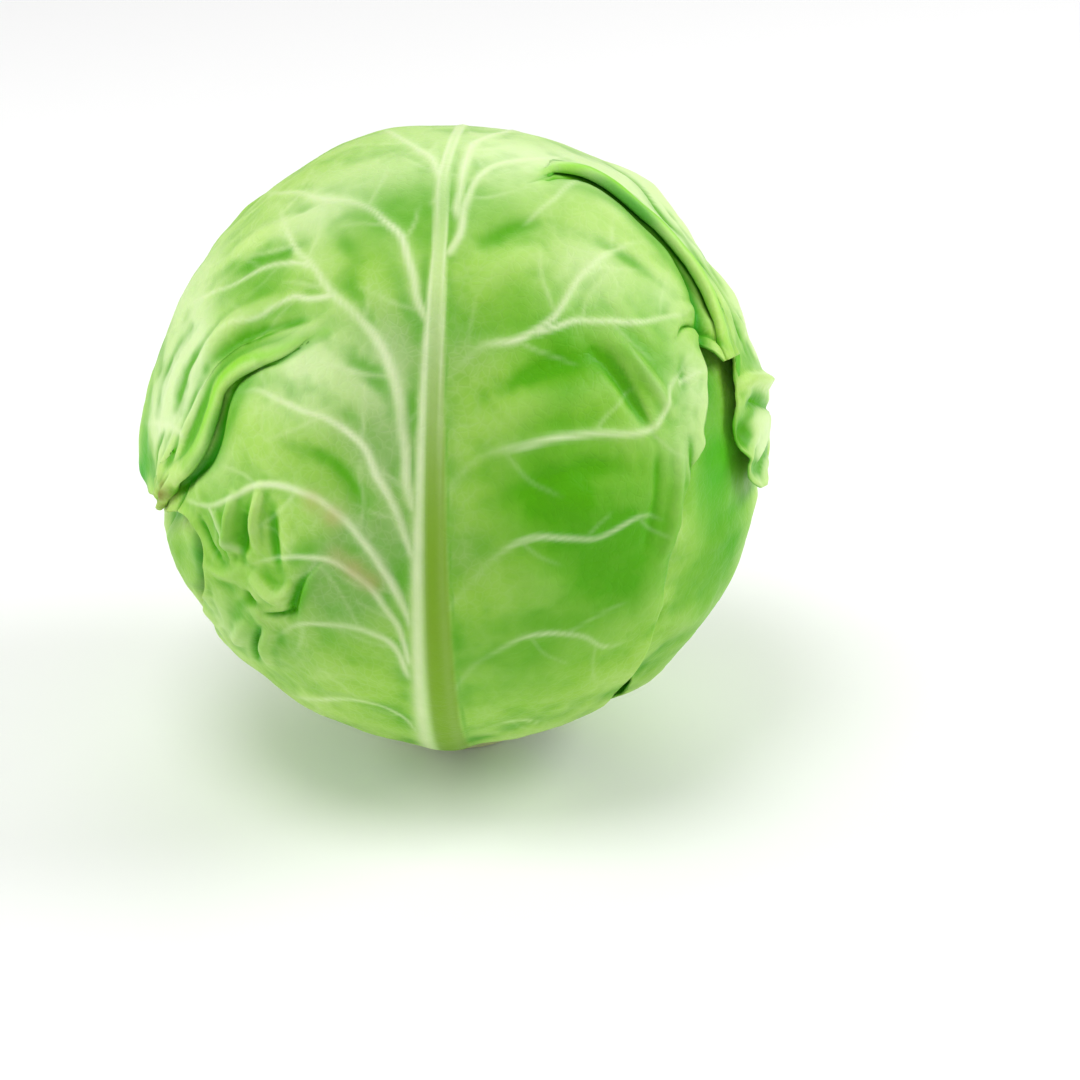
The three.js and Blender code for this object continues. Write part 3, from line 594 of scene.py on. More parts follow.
def back_height(d):
    beyond_apron = fade(*BACK_LIFT_TURNS, turn_of(d))
    return BACK_LIFT * clear_of_hood(d) * beyond_apron + swells(d, BACK_SWELLS) - BACK_DEPTH


def left_height(d):
    turn = turn_of(d)
    edge = apron_left_edge(up_of(d))
    begins, ends = APRON_CLEARANCE
    open_share = clear_of_hood(d) * fade(*LEFT_LIFT_TURNS, turn)
    open_share *= fade(edge - begins, edge - ends, turn)
    return open_share * (LEFT_LIFT + swells(d, LEFT_SWELLS)) - LEFT_DEPTH


def right_height(d):
    return swells(d, RIGHT_SWELLS) - RIGHT_DEPTH


# Soft random relief, the same on each run

def lattice_noise(points, size, seed):
    """Smooth random values from 0 to 1 over points, with cells of the given size."""
    table = np.random.default_rng(seed).random(512)
    shuffle = np.random.default_rng(seed + 1).permutation(256)
    cell = points / size
    low = np.floor(cell).astype(int)
    f = cell - low
    f = f * f * (3 - 2 * f)
    total = np.zeros(points.shape[:-1])
    for corner in range(8):
        step = np.array([corner & 1, corner >> 1 & 1, corner >> 2 & 1])
        at = (low + step) & 255
        key = shuffle[(shuffle[(shuffle[at[..., 0]] + at[..., 1]) & 255] + at[..., 2]) & 255]
        share = np.prod(np.where(step == 1, f, 1 - f), axis=-1)
        total += share * table[key]
    return total


def ridged(points, size, seed):
    """Random values with sharp crests, from 0 to 1."""
    return 1 - np.abs(2 * lattice_noise(points, size, seed) - 1)


# Veins, grooves and steps drawn on a blade

def route_points(route):
    """Directions about ROUTE_STEP apart on a smooth curve through the route's corners."""
    corners = np.array(route, float)
    if corners.shape[1] == 2:
        corners = direction(*corners.T)
    length = np.sum(np.linalg.norm(np.diff(corners, axis=0), axis=1)) * HEAD_RADIUS
    count = max(4, int(length / ROUTE_STEP))
    return unit(spline(corners, np.linspace(0, 1, count)))


def distance_to_route(d, route, reach):
    """Millimetres from each direction to a route, the share along it, and which side it lies on."""
    line = route_points(route)
    shape = d.shape[:-1]
    flat = d.reshape(-1, 3)
    far = np.full(len(flat), 1e3)
    share = np.zeros(len(flat))
    side = np.ones(len(flat))
    middle = unit(line.mean(axis=0))
    limit = (line @ middle).min()
    cone = math.cos(min(math.pi, math.acos(max(-1, min(1, limit))) + reach / HEAD_RADIUS))
    near = np.nonzero(flat @ middle > cone)[0]
    if len(near) == 0:
        return far.reshape(shape), share.reshape(shape), side.reshape(shape)
    points = flat[near]
    starts, steps = line[:-1], np.diff(line, axis=0)
    lengths = np.sum(steps * steps, axis=1)
    best = np.full(len(points), 1e9)
    for i in range(len(starts)):
        offset = points - starts[i]
        along = np.clip(offset @ steps[i] / lengths[i], 0, 1)
        gap = offset - along[:, None] * steps[i]
        squared = np.sum(gap * gap, axis=1)
        closer = squared < best
        best[closer] = squared[closer]
        share[near[closer]] = (i + along[closer]) / len(starts)
        turned = np.cross(steps[i], gap[closer])
        side[near[closer]] = np.sign(np.sum(turned * points[closer], axis=1))
    far[near] = np.sqrt(best) * HEAD_RADIUS
    return far.reshape(shape), share.reshape(shape), side.reshape(shape)


def branches(veins, seed):
    """Small veins that leave the drawn ones on either side, towards their tips."""
    chance = np.random.default_rng(seed)
    made = []
    for half_width, rise, route in veins:
        line = route_points(route)
        count = int(len(line) * ROUTE_STEP / BRANCH_SPACING)
        for k in range(1, count):
            at = int((k + chance.uniform(-0.3, 0.3)) / count * (len(line) - 2))
            start = line[at]
            ahead = unit(line[at + 1] - start)
            side = np.cross(start, ahead) * (1 if k % 2 else -1)
            angle = math.radians(chance.uniform(*BRANCH_ANGLES))
            reach = chance.uniform(*BRANCH_LENGTHS) / HEAD_RADIUS
            way = ahead * math.cos(angle) + side * math.sin(angle)
            later = ahead * math.cos(angle * 0.5) + side * math.sin(angle * 0.5)
            middle = unit(start + way * reach * 0.5)
            end = unit(middle + (way + later) * reach * 0.3)
            corners = np.stack([start, middle, end])
            size = BRANCH_SIZE * (1 - 0.4 * k / count)
            made.append((half_width * size, rise * size, corners))
    return made


def wavered(d, size, reach):
    """Directions pushed a little to and fro, so that lines drawn on them waver."""
    places = d * HEAD_RADIUS
    push = np.stack([lattice_noise(places, size, seed) - 0.5 for seed in (51, 53, 55)], axis=-1)
    return unit(d + push * 2 * reach / HEAD_RADIUS)


def draw_veins(d, veins, seed):
    """Relief of the veins, their pale lines, and the soft pale ground beside them."""
    relief = np.zeros(d.shape[:-1])
    line = np.zeros(d.shape[:-1])
    ground = np.zeros(d.shape[:-1])
    wavy = wavered(d, size=9, reach=1.0)
    uneven = 0.65 + 0.7 * lattice_noise(d * HEAD_RADIUS, size=14, seed=57)
    for half_width, rise, route in veins + branches(veins, seed):
        far, share, _ = distance_to_route(wavy, route, LINE_REACH)
        taper = (1 - share) ** 0.8
        end = (1 - fade(0.75, 1, share)) * fade(0, 0.06, share + 0.01)
        width = 0.6 + 0.4 * half_width * taper
        ridge = np.exp(-((far / width) ** 2))
        skirt = np.exp(-((far / (3 * width)) ** 2))
        strength = np.minimum(1, 0.8 * half_width) * (0.35 + 0.65 * taper) * end
        relief = np.maximum(relief, rise * (0.25 + 0.75 * taper) * end * (ridge * 0.5 + skirt * 0.4))
        line = np.maximum(line, strength * ridge * uneven)
        ground = np.maximum(ground, strength * np.exp(-((far / (1.4 + 2.4 * half_width)) ** 2)))
    return relief, np.minimum(line, 1), ground


def tapering(share, blunt, power):
    """0 at both ends of a route and 1 at its middle, blunt ends held at a small share."""
    return np.sin(np.pi * np.clip(share, blunt, 1 - blunt)) ** power


def draw_strokes(d, strokes):
    relief = np.zeros(d.shape[:-1])
    for half_width, height, route in strokes:
        far, share, _ = distance_to_route(d, route, STROKE_REACH)
        relief += height * tapering(share, 0.03, 0.7) * np.exp(-((far / half_width) ** 2))
    return relief


def draw_troughs(d, troughs):
    """Valleys that widen and deepen along their routes, and how far each point lies down in them."""
    relief = np.zeros(d.shape[:-1])
    mask = np.zeros(d.shape[:-1])
    for widths, depths, route in troughs:
        far, share, _ = distance_to_route(d, route, LINE_REACH)
        width = widths[0] + (widths[1] - widths[0]) * share
        depth = depths[0] + (depths[1] - depths[0]) * share
        valley = np.exp(-((far / width) ** 2)) * fade(0, 0.08, share + 0.02)
        relief = np.minimum(relief, -depth * valley)
        mask = np.maximum(mask, valley * fade(0.3, 3, depth))
    return relief, mask


def draw_bands(d, bands):
    strength = np.zeros(d.shape[:-1])
    for half_width, share, route in bands:
        far, along, _ = distance_to_route(d, route, LINE_REACH)
        band = np.exp(-((far / half_width) ** 2))
        strength = np.maximum(strength, share * tapering(along, 0.04, 0.5) * band)
    return strength


def draw_steps(d, steps):
    """Steps that rise on one side of their routes and fall off slowly behind."""
    relief = np.zeros(d.shape[:-1])
    for height, fall, route in steps:
        far, share, side = distance_to_route(d, route, LINE_REACH)
        signed = far * side
        edge = fade(-0.5, 0.5, signed)
        relief += height * tapering(share, 0.02, 0.7) * edge * np.exp(-np.clip(signed, 0, None) / fall)
    return relief


def draw_midrib(leaf, columns, middle, per_unit):
    """The midrib's relief and mask, from each row's own middle."""
    up = up_of(middle)
    over = (middle[..., 1] > 0) & leaf["over_top"]
    along = np.where(over, 180 - up - LEAF_BASE_UP, up - LEAF_BASE_UP)
    share = np.clip(along / leaf["rib_length"], 0, 1)[:, None]
    half_width = leaf["rib_half_width"] * (1 - share) + RIB_TIP_HALF_WIDTH * share
    rise = leaf["rib_rise"] * (1 - share) + RIB_TIP_RISE * share
    across = (columns[None] - 0.5) * per_unit[:, None] / half_width
    crown = np.exp(-np.abs(across) ** 3)
    skirt = np.exp(-((across / 2.4) ** 2))
    return rise * (0.85 * crown + 0.15 * skirt), np.maximum(crown, 0.3 * skirt), across


def margin_share(u, v, reach):
    """1 on a leaf's sides and tip, falling off within reach of them."""
    return np.minimum(1, np.exp(-np.minimum(u, 1 - u) / reach) + np.exp(-(1 - v) / reach))


def ripple(leaf, columns, rows):
    """The slow waves of a leaf's margin."""
    u, v = columns[None], rows[:, None]
    wave = 0.35 + 0.65 * np.sin(leaf["waves"] * v + leaf["turn"]) * np.cos(leaf["waves"] * 0.8 * u)
    return leaf["ripple"] * margin_share(u, v, RIPPLE_REACH) * wave * fade(0.05, 0.2, v)


def frilled(leaf, d, columns, rows):
    """Directions with the leaf's margin made uneven in its own plane, and how far it stands up and down."""
    u, v = columns[None], rows[:, None]
    margin = margin_share(u, v, FRILL_REACH) * fade(0.08, 0.2, v) * leaf["margin_hold"](u, v)
    places = d * HEAD_RADIUS
    middle = unit(d[len(d) // 2, d.shape[1] // 2])
    outward = middle - d * np.sum(d * middle, axis=-1, keepdims=True)
    outward = -outward / np.maximum(1e-6, np.linalg.norm(outward, axis=-1, keepdims=True))
    broad = lattice_noise(places, size=11, seed=41)
    small = lattice_noise(places, size=4.5, seed=43)
    shift = margin * (broad + 0.6 * small - 0.8)
    lift = margin * (lattice_noise(places, size=9, seed=47) - 0.35)
    sideways = shift * leaf["frill"] * FRILL_SIDEWAYS / HEAD_RADIUS
    return unit(d + outward * sideways[..., None]), lift * leaf["frill"]


def whole_margin(_u, _v):
    return 1.0


def away_from_pleats(_u, v):
    return fade(0.03, 0.09, np.abs(v - 0.5))


# Meshes

def deselect_all():
    for thing in bpy.context.selected_objects:
        thing.select_set(False)


def set_places(piece, places):
    piece.data.vertices.foreach_set("co", (places.reshape(-1, 3) * METRES).ravel())
    piece.data.update()


def add_layer(piece, name, values):
    layer = piece.data.attributes.new(name, "FLOAT", "POINT")
    layer.data.foreach_set("value", np.ascontiguousarray(values, float).ravel())


def apply_modifier(piece, kind, **settings):
    bpy.context.view_layer.objects.active = piece
    modifier = piece.modifiers.new(kind.lower(), kind)
    for name, value in settings.items():
        setattr(modifier, name, value)
    bpy.ops.object.modifier_apply(modifier=modifier.name)


def normals_of(places):
    """Outward normals of a grid of places."""
    along = np.gradient(places, axis=0)
    across = np.gradient(places, axis=1)
    return unit(np.cross(across, along))


def blade_mesh(name, places, layers, inner_share):
    """A leaf's grid, thickened into a closed blade whose hidden face is thinned out."""
    rows, columns = places.shape[:2]
    deselect_all()
    bpy.ops.mesh.primitive_grid_add(x_subdivisions=columns - 1, y_subdivisions=rows - 1, size=1)
    piece = bpy.context.object
    piece.name = piece.data.name = name
    outer = places + normals_of(places) * BLADE_THICKNESS / 2
    set_places(piece, outer)
    for layer, values in layers.items():
        add_layer(piece, layer, values)
    outer_count = rows * columns
    piece.vertex_groups.new(name="hidden_face")
    apply_modifier(piece, "SOLIDIFY", thickness=BLADE_THICKNESS * METRES, offset=-1, use_rim=True)
    total = len(piece.data.vertices)
    piece.vertex_groups["hidden_face"].add(range(outer_count, total), 1, "REPLACE")
    inner = np.zeros(total)
    inner[outer_count:] = 1
    add_layer(piece, "inner", inner)
    apply_modifier(piece, "DECIMATE", ratio=inner_share, vertex_group="hidden_face", vertex_group_factor=1)
    bpy.ops.object.shade_smooth()
    return piece


# The leaves' relief and the masks of their colours

def fine_relief(places, strength):
    parts = [height * (lattice_noise(places, size, seed) - 0.5) for size, seed, height in PUFFS]
    return strength * sum(parts)


def wrinkles(places, share):
    """Folds and fine creases, for the share of each place that is wrinkled."""
    folds = ridged(places, size=13, seed=12) ** 2 - 0.35
    creases = ridged(places * np.array([1, 1, 0.6]), size=6, seed=21) ** 3 - 0.25
    return share * (1.3 * folds + 0.35 * creases)


def softened(values, reach):
    """A running mean over the grid, both ways."""
    for axis in (0, 1):
        padded = np.concatenate([
            np.repeat(values.take([0], axis), reach + 1, axis), values,
            np.repeat(values.take([-1], axis), reach, axis),
        ], axis)
        total = np.cumsum(padded, axis)
        size = values.shape[axis]
        high = total.take(np.arange(2 * reach + 1, 2 * reach + 1 + size), axis)
        low = total.take(np.arange(size), axis)
        values = (high - low) / (2 * reach + 1)
    return values


def rib_lines(across, up):
    """The midrib's two pale lines, the left one partly a painted highlight where its crest catches the
    light, and the green between them.
    """
    left = 0.8 * np.exp(-(((across + 0.62) / 0.3) ** 2))
    right = (0.08 + 0.6 * fade(5, 48, up)) * np.exp(-(((across - 0.72) / 0.26) ** 2))
    body = 0.3 * fade(0, 50, up) * np.exp(-np.abs(across) ** 4)
    return np.maximum(np.maximum(left, right), body)


def row_widths(d, columns):
    """How many millimetres each row measures across, judged beside its middle."""
    half = len(columns) // 2
    near = max(2, len(columns) // 50)
    step = np.degrees(np.arccos(np.clip(np.sum(d[:, half] * d[:, half + near], axis=-1), -1, 1)))
    return np.radians(step) * HEAD_RADIUS / (columns[half + near] - columns[half])


def soft_relief(leaf, d, rib_mask):
    """The blade's puffs and wrinkles, calmer on the midrib and over the crown of the head."""
    flat = on_head(d, np.zeros(d.shape[:-1]))
    calm = (1 - 0.8 * rib_mask) * (1 - 0.4 * fade(32, 58, up_of(d)))
    relief = fine_relief(flat, leaf["crumple"]) * calm
    relief += wrinkles(flat, np.clip(swells(d, leaf["wrinkles"]), 0, 1))
    return relief


def hollows_and_crests(height):
    """How far each place lies below or above what surrounds it, close by and more broadly, as masks for
    painted shade in the hollows and a painted highlight on the crests.
    """
    close = height - softened(height, CLOSE_STEPS)
    broad = height - softened(height, BROAD_STEPS)
    hollow_shade = np.clip(-close / 0.36, 0, 1) * 0.55 + np.clip(-broad / 0.9, 0, 1) * 0.6
    crest_highlight = np.clip(close / 0.4, 0, 1) * 0.6 + np.clip(broad / 0.9, 0, 1) * 0.6
    return hollow_shade, crest_highlight


def leaf_rows(leaf, d, columns, v, extra):
    """Places and layers of a leaf from its directions, rows x columns x 3."""
    middle = d[:, len(columns) // 2]
    d, lift = frilled(leaf, d, columns, v)
    risen = 1 - leaf["sunk"](d)
    relief, vein, ground = (part * risen for part in draw_veins(d, leaf["veins"], leaf["seed"]))
    rib, rib_mask, across = draw_midrib(leaf, columns, middle, row_widths(d, columns))
    cover = leaf["cover"](d)
    soft = soft_relief(leaf, d, rib_mask)
    height = leaf["height"](d) + extra + ripple(leaf, columns, v) + lift
    height += np.maximum(relief, rib) * cover + soft * (0.4 + 0.6 * cover)
    # Hollows are given painted shade and crests a painted highlight
    hollow_shade, crest_highlight = hollows_and_crests(height)
    up = up_of(d)
    # A painted shadow as a dark line along the midrib's right edge, added to the hollows' painted shade
    rib_edge_shadow = np.exp(-(((across - 1.2) / 0.12) ** 2)) * fade(60, 30, up)
    layers = {
        "vein": np.maximum(vein * (1 - rib_mask), rib_lines(across, up)),
        "ground": np.maximum(ground, rib_mask),
        "hollow_shade": np.maximum(hollow_shade, 0.7 * rib_edge_shadow),
        "crest_highlight": crest_highlight,
        "rib_shade": crown_shade(across, up),
    }
    for name, patches in leaf["tints"].items():
        layers[name] = np.clip(swells(d, patches), 0, 1)
    return on_head(d, height), layers


def crown_shade(across, up):
    """The flat of the midrib low down, greener than the lines on either side: partly its own olive and
    partly painted shade on the rib's shaded side.
    """
    return fade(-0.45, -0.1, across) * fade(1.15, 0.9, across) * fade(60, 15, up)


def right_of_midrib(d):
    """How far the front leaf's side veins sink into the blade, just right of the midrib."""
    turn = (turn_of(d) + 90) % 360 - 90
    beside = SUNK_SHARE * fade(*SUNK_FROM_RIGHT, turn) * fade(*SUNK_FROM_LEFT, turn)
    return beside * fade(*SUNK_FROM_TOP, up_of(d))


def nowhere(d):
    return np.zeros(d.shape[:-1])


def everywhere(d):
    return np.ones(d.shape[:-1])


def plain_leaf(name, leaf):
    """A leaf whose blade follows its guide rows from base to tip."""
    guides = guide_directions(leaf["guides"])
    columns = np.linspace(0, 1, leaf["columns"])
    v = np.linspace(0, 1, leaf["rows"])
    d = unit(spline(rows_at(guides, columns), v))
    places, layers = leaf_rows(leaf, d, columns, v, 0)
    return blade_mesh(name, places, layers, leaf["inner_share"])


def pleat_line(columns):
    """Directions of the fold line at each column."""
    shares, turns, ups = np.array(PLEAT_LINE, float).T
    station = np.interp(columns, shares, np.arange(len(shares))) / (len(shares) - 1)
    return unit(spline(direction(turns, ups), station))


def pleat_heading(columns):
    step = 0.02
    ahead = pleat_line(np.minimum(1, columns + step))
    behind = pleat_line(np.maximum(0, columns - step))
    return unit(ahead - behind)


def pleat_share(columns):
    """How far the pleat is folded at each column: fully at both sides, not at all by the midrib."""
    left = fade(*LEFT_PLEAT_FADE, columns)
    right = fade(*RIGHT_PLEAT_FADE, columns)
    return np.where(columns < 0.5, left, right)


def pleat_directions(first_hood, columns, across):
    """The pleat line moved across itself; across is one value for each column."""
    line = pleat_line(columns)
    upward = unit(np.cross(line, pleat_heading(columns)))
    lengthwise = unit(unit(spline(first_hood, columns)) - line)
    share = pleat_share(columns)[:, None]
    way = unit(lengthwise * (1 - share) + upward * share)
    return unit(line + way * (across * PLEAT_WIDTH / HEAD_RADIUS)[:, None])


def interval_rows(counts):
    """Rows from 0 to 1 with a stated number in each interval between guides."""
    parts = [(i + np.arange(n) / n) / len(counts) for i, n in enumerate(counts)]
    return np.concatenate([*parts, [1.0]])


def pleat_fold(leaf, first_hood, columns):
    """The pleat's rows: their directions, how far they stand out and how far down in the fold they lie."""
    steps = np.linspace(0, 1, leaf["pleat_rows"])
    profile = spline(np.array(PLEAT_PROFILE, float), steps)
    share = pleat_share(columns)
    flat = PLEAT_START + (PLEAT_END - PLEAT_START) * steps
    directions = np.stack([
        pleat_directions(first_hood, columns, flat[k] * (1 - share) + profile[k, 0] * share)
        for k in range(len(steps))
    ])
    lip = PLEAT_HEIGHT_LEFT + (PLEAT_HEIGHT_RIGHT - PLEAT_HEIGHT_LEFT) * fade(0.45, 0.55, columns)
    lip = lip * (1 - LIP_SINK * fade(LIP_SINKS_FROM, 1, columns))
    out = profile[:, 1][:, None] * (share * lip)[None]
    inside = np.exp(-((profile[:, 0] - 0.6) ** 2)) * (profile[:, 1] < 0.45)
    return directions, out, inside[:, None] * share[None]


def pleated_leaf(name, leaf):
    """The front leaf: its apron, its pleat and its hood, from the base upwards, as one blade."""
    columns = np.linspace(0, 1, leaf["columns"])
    hood_guides = guide_directions(FRONT_HOOD_GUIDES)
    apron_guides = guide_directions(FRONT_APRON_GUIDES)
    first_row, last_row = (
        pleat_directions(hood_guides[0], columns, np.full(len(columns), place))
        for place in (PLEAT_START, PLEAT_END)
    )
    apron_v = interval_rows(leaf["apron_counts"])[:-1]
    hood_v = interval_rows(leaf["hood_counts"])[1:]
    apron_d = unit(spline(np.concatenate([rows_at(apron_guides, columns), first_row[None]]), apron_v))
    hood_d = unit(spline(np.concatenate([last_row[None], rows_at(hood_guides, columns)]), hood_v))
    pleat_d, pleat_out, in_fold = pleat_fold(leaf, hood_guides[0], columns)
    d = np.concatenate([apron_d, pleat_d, hood_d])
    v = np.concatenate([apron_v / 2, np.full(len(pleat_d), 0.5), 0.5 + hood_v / 2])
    pleat = slice(len(apron_d), len(apron_d) + len(pleat_d))
    apron_side = np.arange(len(d))[:, None] <= pleat.start + 2
    extra = np.zeros(d.shape[:-1])
    extra[pleat] = pleat_out
    extra += draw_strokes(d, FRONT_STROKES) + draw_steps(d, FRONT_STEPS) + swells(d, FRONT_PITS)
    trough, trough_mask = draw_troughs(d, FRONT_TROUGHS)
    extra += trough * apron_side
    places, layers = leaf_rows(leaf, d, columns, v, extra)
    # Painted shade down in the troughs, the pleat's fold and the crease bands
    deep = trough_mask * apron_side
    deep[pleat] = np.maximum(deep[pleat], in_fold)
    layers["deep"] = np.maximum(deep, draw_bands(d, FRONT_CREASE_SHADES))
    # Painted shade along the folds and grooves, with the darker green clouds
    layers["dark_green_and_shade"] = np.maximum(layers["dark_green_and_shade"], draw_bands(d, FRONT_GROOVE_SHADES))
    # Painted highlight on the pleats' lips
    layers["rim"] = draw_bands(d, FRONT_LIP_HIGHLIGHTS)
    layers["tip"] = draw_bands(d, FRONT_TIPS)
    return blade_mesh(name, places, layers, leaf["inner_share"])


# The heart and the stump

def closed_rings(name, rings):
    """A cylinder whose side is cut into rings and laid over the given places, its caps closed."""
    levels, sides = rings.shape[:2]
    deselect_all()
    bpy.ops.mesh.primitive_cylinder_add(vertices=sides, radius=1, depth=1, end_fill_type="TRIFAN")
    piece = bpy.context.object
    piece.name = piece.data.name = name
    bpy.ops.object.mode_set(mode="EDIT")
    bpy.ops.mesh.select_all(action="DESELECT")
    bpy.ops.object.mode_set(mode="OBJECT")
    for edge in piece.data.edges:
        a, b = (piece.data.vertices[i].co for i in edge.vertices)
        edge.select = abs(a.z - b.z) > 0.5
    bpy.ops.object.mode_set(mode="EDIT")
    bpy.ops.mesh.subdivide_edgering(number_cuts=levels - 2, interpolation="LINEAR")
    bpy.ops.object.mode_set(mode="OBJECT")
    here = np.empty(len(piece.data.vertices) * 3)
    piece.data.vertices.foreach_get("co", here)
    here = here.reshape(-1, 3)
    level = np.round((here[:, 2] + 0.5) * (levels - 1)).astype(int)
    around = np.round(np.arctan2(here[:, 1], here[:, 0]) / (2 * math.pi) * sides).astype(int) % sides
    places = rings[level, around]
    axis = np.hypot(here[:, 0], here[:, 1]) < 1e-4
    places[axis, 0:2] = 0
    set_places(piece, places)
    bpy.ops.object.shade_smooth_by_angle(angle=math.radians(SMOOTH_ANGLE))
    return piece


def build_heart():
    up = np.linspace(HEART_LOWEST_UP, HEART_HIGHEST_UP, HEART_RINGS)[:, None]
    around = np.arange(HEART_SIDES)[None] / HEART_SIDES
    d = direction(around * 360 + up * HEART_SPIRAL, up)
    across = (around * HEART_LEAVES_ROUND) % 1
    step = HEART_LEAF_STEP * (across - 0.5) * fade(HEART_LOWEST_UP, HEART_STEP_FULL_UP, up)
    flat = on_head(d, np.zeros(d.shape[:-1]))
    uneven = HEART_UNEVENNESS * (lattice_noise(flat, size=12, seed=3) - 0.5)
    places = on_head(d, step - HEART_DEPTH + uneven)
    places[0, :, 2] = HEART_FOOT_Z
    return closed_rings("heart_ball", places)


def build_stump():
    turn = (np.arange(STUMP_SIDES) / STUMP_SIDES * 2 * math.pi)[None]
    z = np.linspace(0, STUMP_TOP_Z, STUMP_RINGS)[:, None]
    radius = (HEAD_CENTRE_Z - z) * math.tan(math.radians(STUMP_HALF_ANGLE))
    bevel = STUMP_BEVEL * np.clip(1 - z / STUMP_BEVEL, 0, 1) ** 2
    scar = np.zeros(np.broadcast(turn, z).shape)
    for level in SCAR_LEVELS:
        notch = SCAR_DEPTH * (1 - np.cos(SCARS_ROUND * turn + level)) / 2
        scar = np.maximum(scar, notch * np.exp(-(((z - level) / SCAR_HALF_WIDTH) ** 2)))
    reach = radius - bevel - scar
    places = np.stack([reach * np.cos(turn), reach * np.sin(turn), z + 0 * turn], axis=-1)
    return closed_rings("cut_stump", places)


# Materials: numbers and colours as sockets

class Socket:
    """One output of a node, which takes part in sums and products as a number does."""

    def __init__(self, sheet, output):
        self.sheet = sheet
        self.output = output

    def maths(self, operation, *values):
        return self.sheet.node("ShaderNodeMath", {"operation": operation}, values)

    def __add__(self, other):
        return self.maths("ADD", self, other)

    def __mul__(self, other):
        return self.maths("MULTIPLY", self, other)

    def __rsub__(self, other):
        return self.maths("SUBTRACT", other, self)

    __radd__ = __add__

    def between(self, low, high):
        """0 at low, 1 at high, smooth and clamped."""
        settings = {"interpolation_type": "SMOOTHSTEP"}
        inputs = {"Value": self, "From Min": low, "From Max": high}
        return self.sheet.node("ShaderNodeMapRange", settings, inputs)


# Where a mix node keeps its colours among its sockets
MIX_LOW = 6
MIX_HIGH = 7
MIX_RESULT = 2


class Sheet:
    """A material and its nodes."""

    def __init__(self, name):
        self.material = bpy.data.materials.new(name)
        self.material.use_nodes = True
        self.tree = self.material.node_tree
        self.shader = self.tree.nodes["Principled BSDF"]

    def node(self, kind, settings, inputs, output=0):
        made = self.tree.nodes.new(kind)
        for name, value in settings.items():
            setattr(made, name, value)
        pairs = inputs.items() if isinstance(inputs, dict) else enumerate(inputs)
        for key, value in pairs:
            self.feed(made.inputs[key], value)
        return Socket(self, made.outputs[output])

    def feed(self, target, value):
        """Link or set one socket."""
        if isinstance(value, Socket):
            self.tree.links.new(value.output, target)
        else:
            target.default_value = value

    def layer(self, name):
        """A mask that the piece's mesh carries."""
        return self.node("ShaderNodeAttribute", {"attribute_name": name}, {}, "Fac")

    def place(self):
        return self.node("ShaderNodeTexCoord", {}, {}, "Object")

    def noise(self, scale, detail):
        inputs = {"Vector": self.place(), "Scale": scale, "Detail": detail}
        return self.node("ShaderNodeTexNoise", {}, inputs, "Fac")

    def mix(self, share, low, high):
        """Two colours mixed; each is a socket or a screen colour."""
        low, high = (tone if isinstance(tone, Socket) else shader_colour(tone) for tone in (low, high))
        inputs = {"Factor": share, MIX_LOW: low, MIX_HIGH: high}
        return self.node("ShaderNodeMix", {"data_type": "RGBA"}, inputs, MIX_RESULT)

    def finish(self, **inputs):
        for name, value in inputs.items():
            self.feed(self.shader.inputs[name.replace("_", " ")], value)
        return self.material


def shader_colour(tone):
    """A screen colour from 0 to 255 as the linear values that a shader takes."""
    parts = [part / 255 for part in tone]
    return [p / 12.92 if p <= 0.04045 else ((p + 0.055) / 1.055) ** 2.4 for p in parts] + [1.0]


def vein_net(sheet, cell):
    """0 on the lines of a net of veins and 1 inside its cells, each about cell millimetres wide."""
    warp = sheet.node("ShaderNodeTexNoise", {}, {"Vector": sheet.place(), "Scale": NET_WARP_SCALE}, "Color")
    scaled = sheet.node("ShaderNodeVectorMath", {"operation": "SCALE"}, {0: warp, "Scale": NET_WARP})
    moved = sheet.node("ShaderNodeVectorMath", {"operation": "ADD"}, [scaled, sheet.place()])
    inputs = {"Vector": moved, "Scale": 1 / (cell * METRES)}
    settings = {"feature": "DISTANCE_TO_EDGE"}
    return sheet.node("ShaderNodeTexVoronoi", settings, inputs, "Distance").between(0.0, NET_LINE_SHARE)


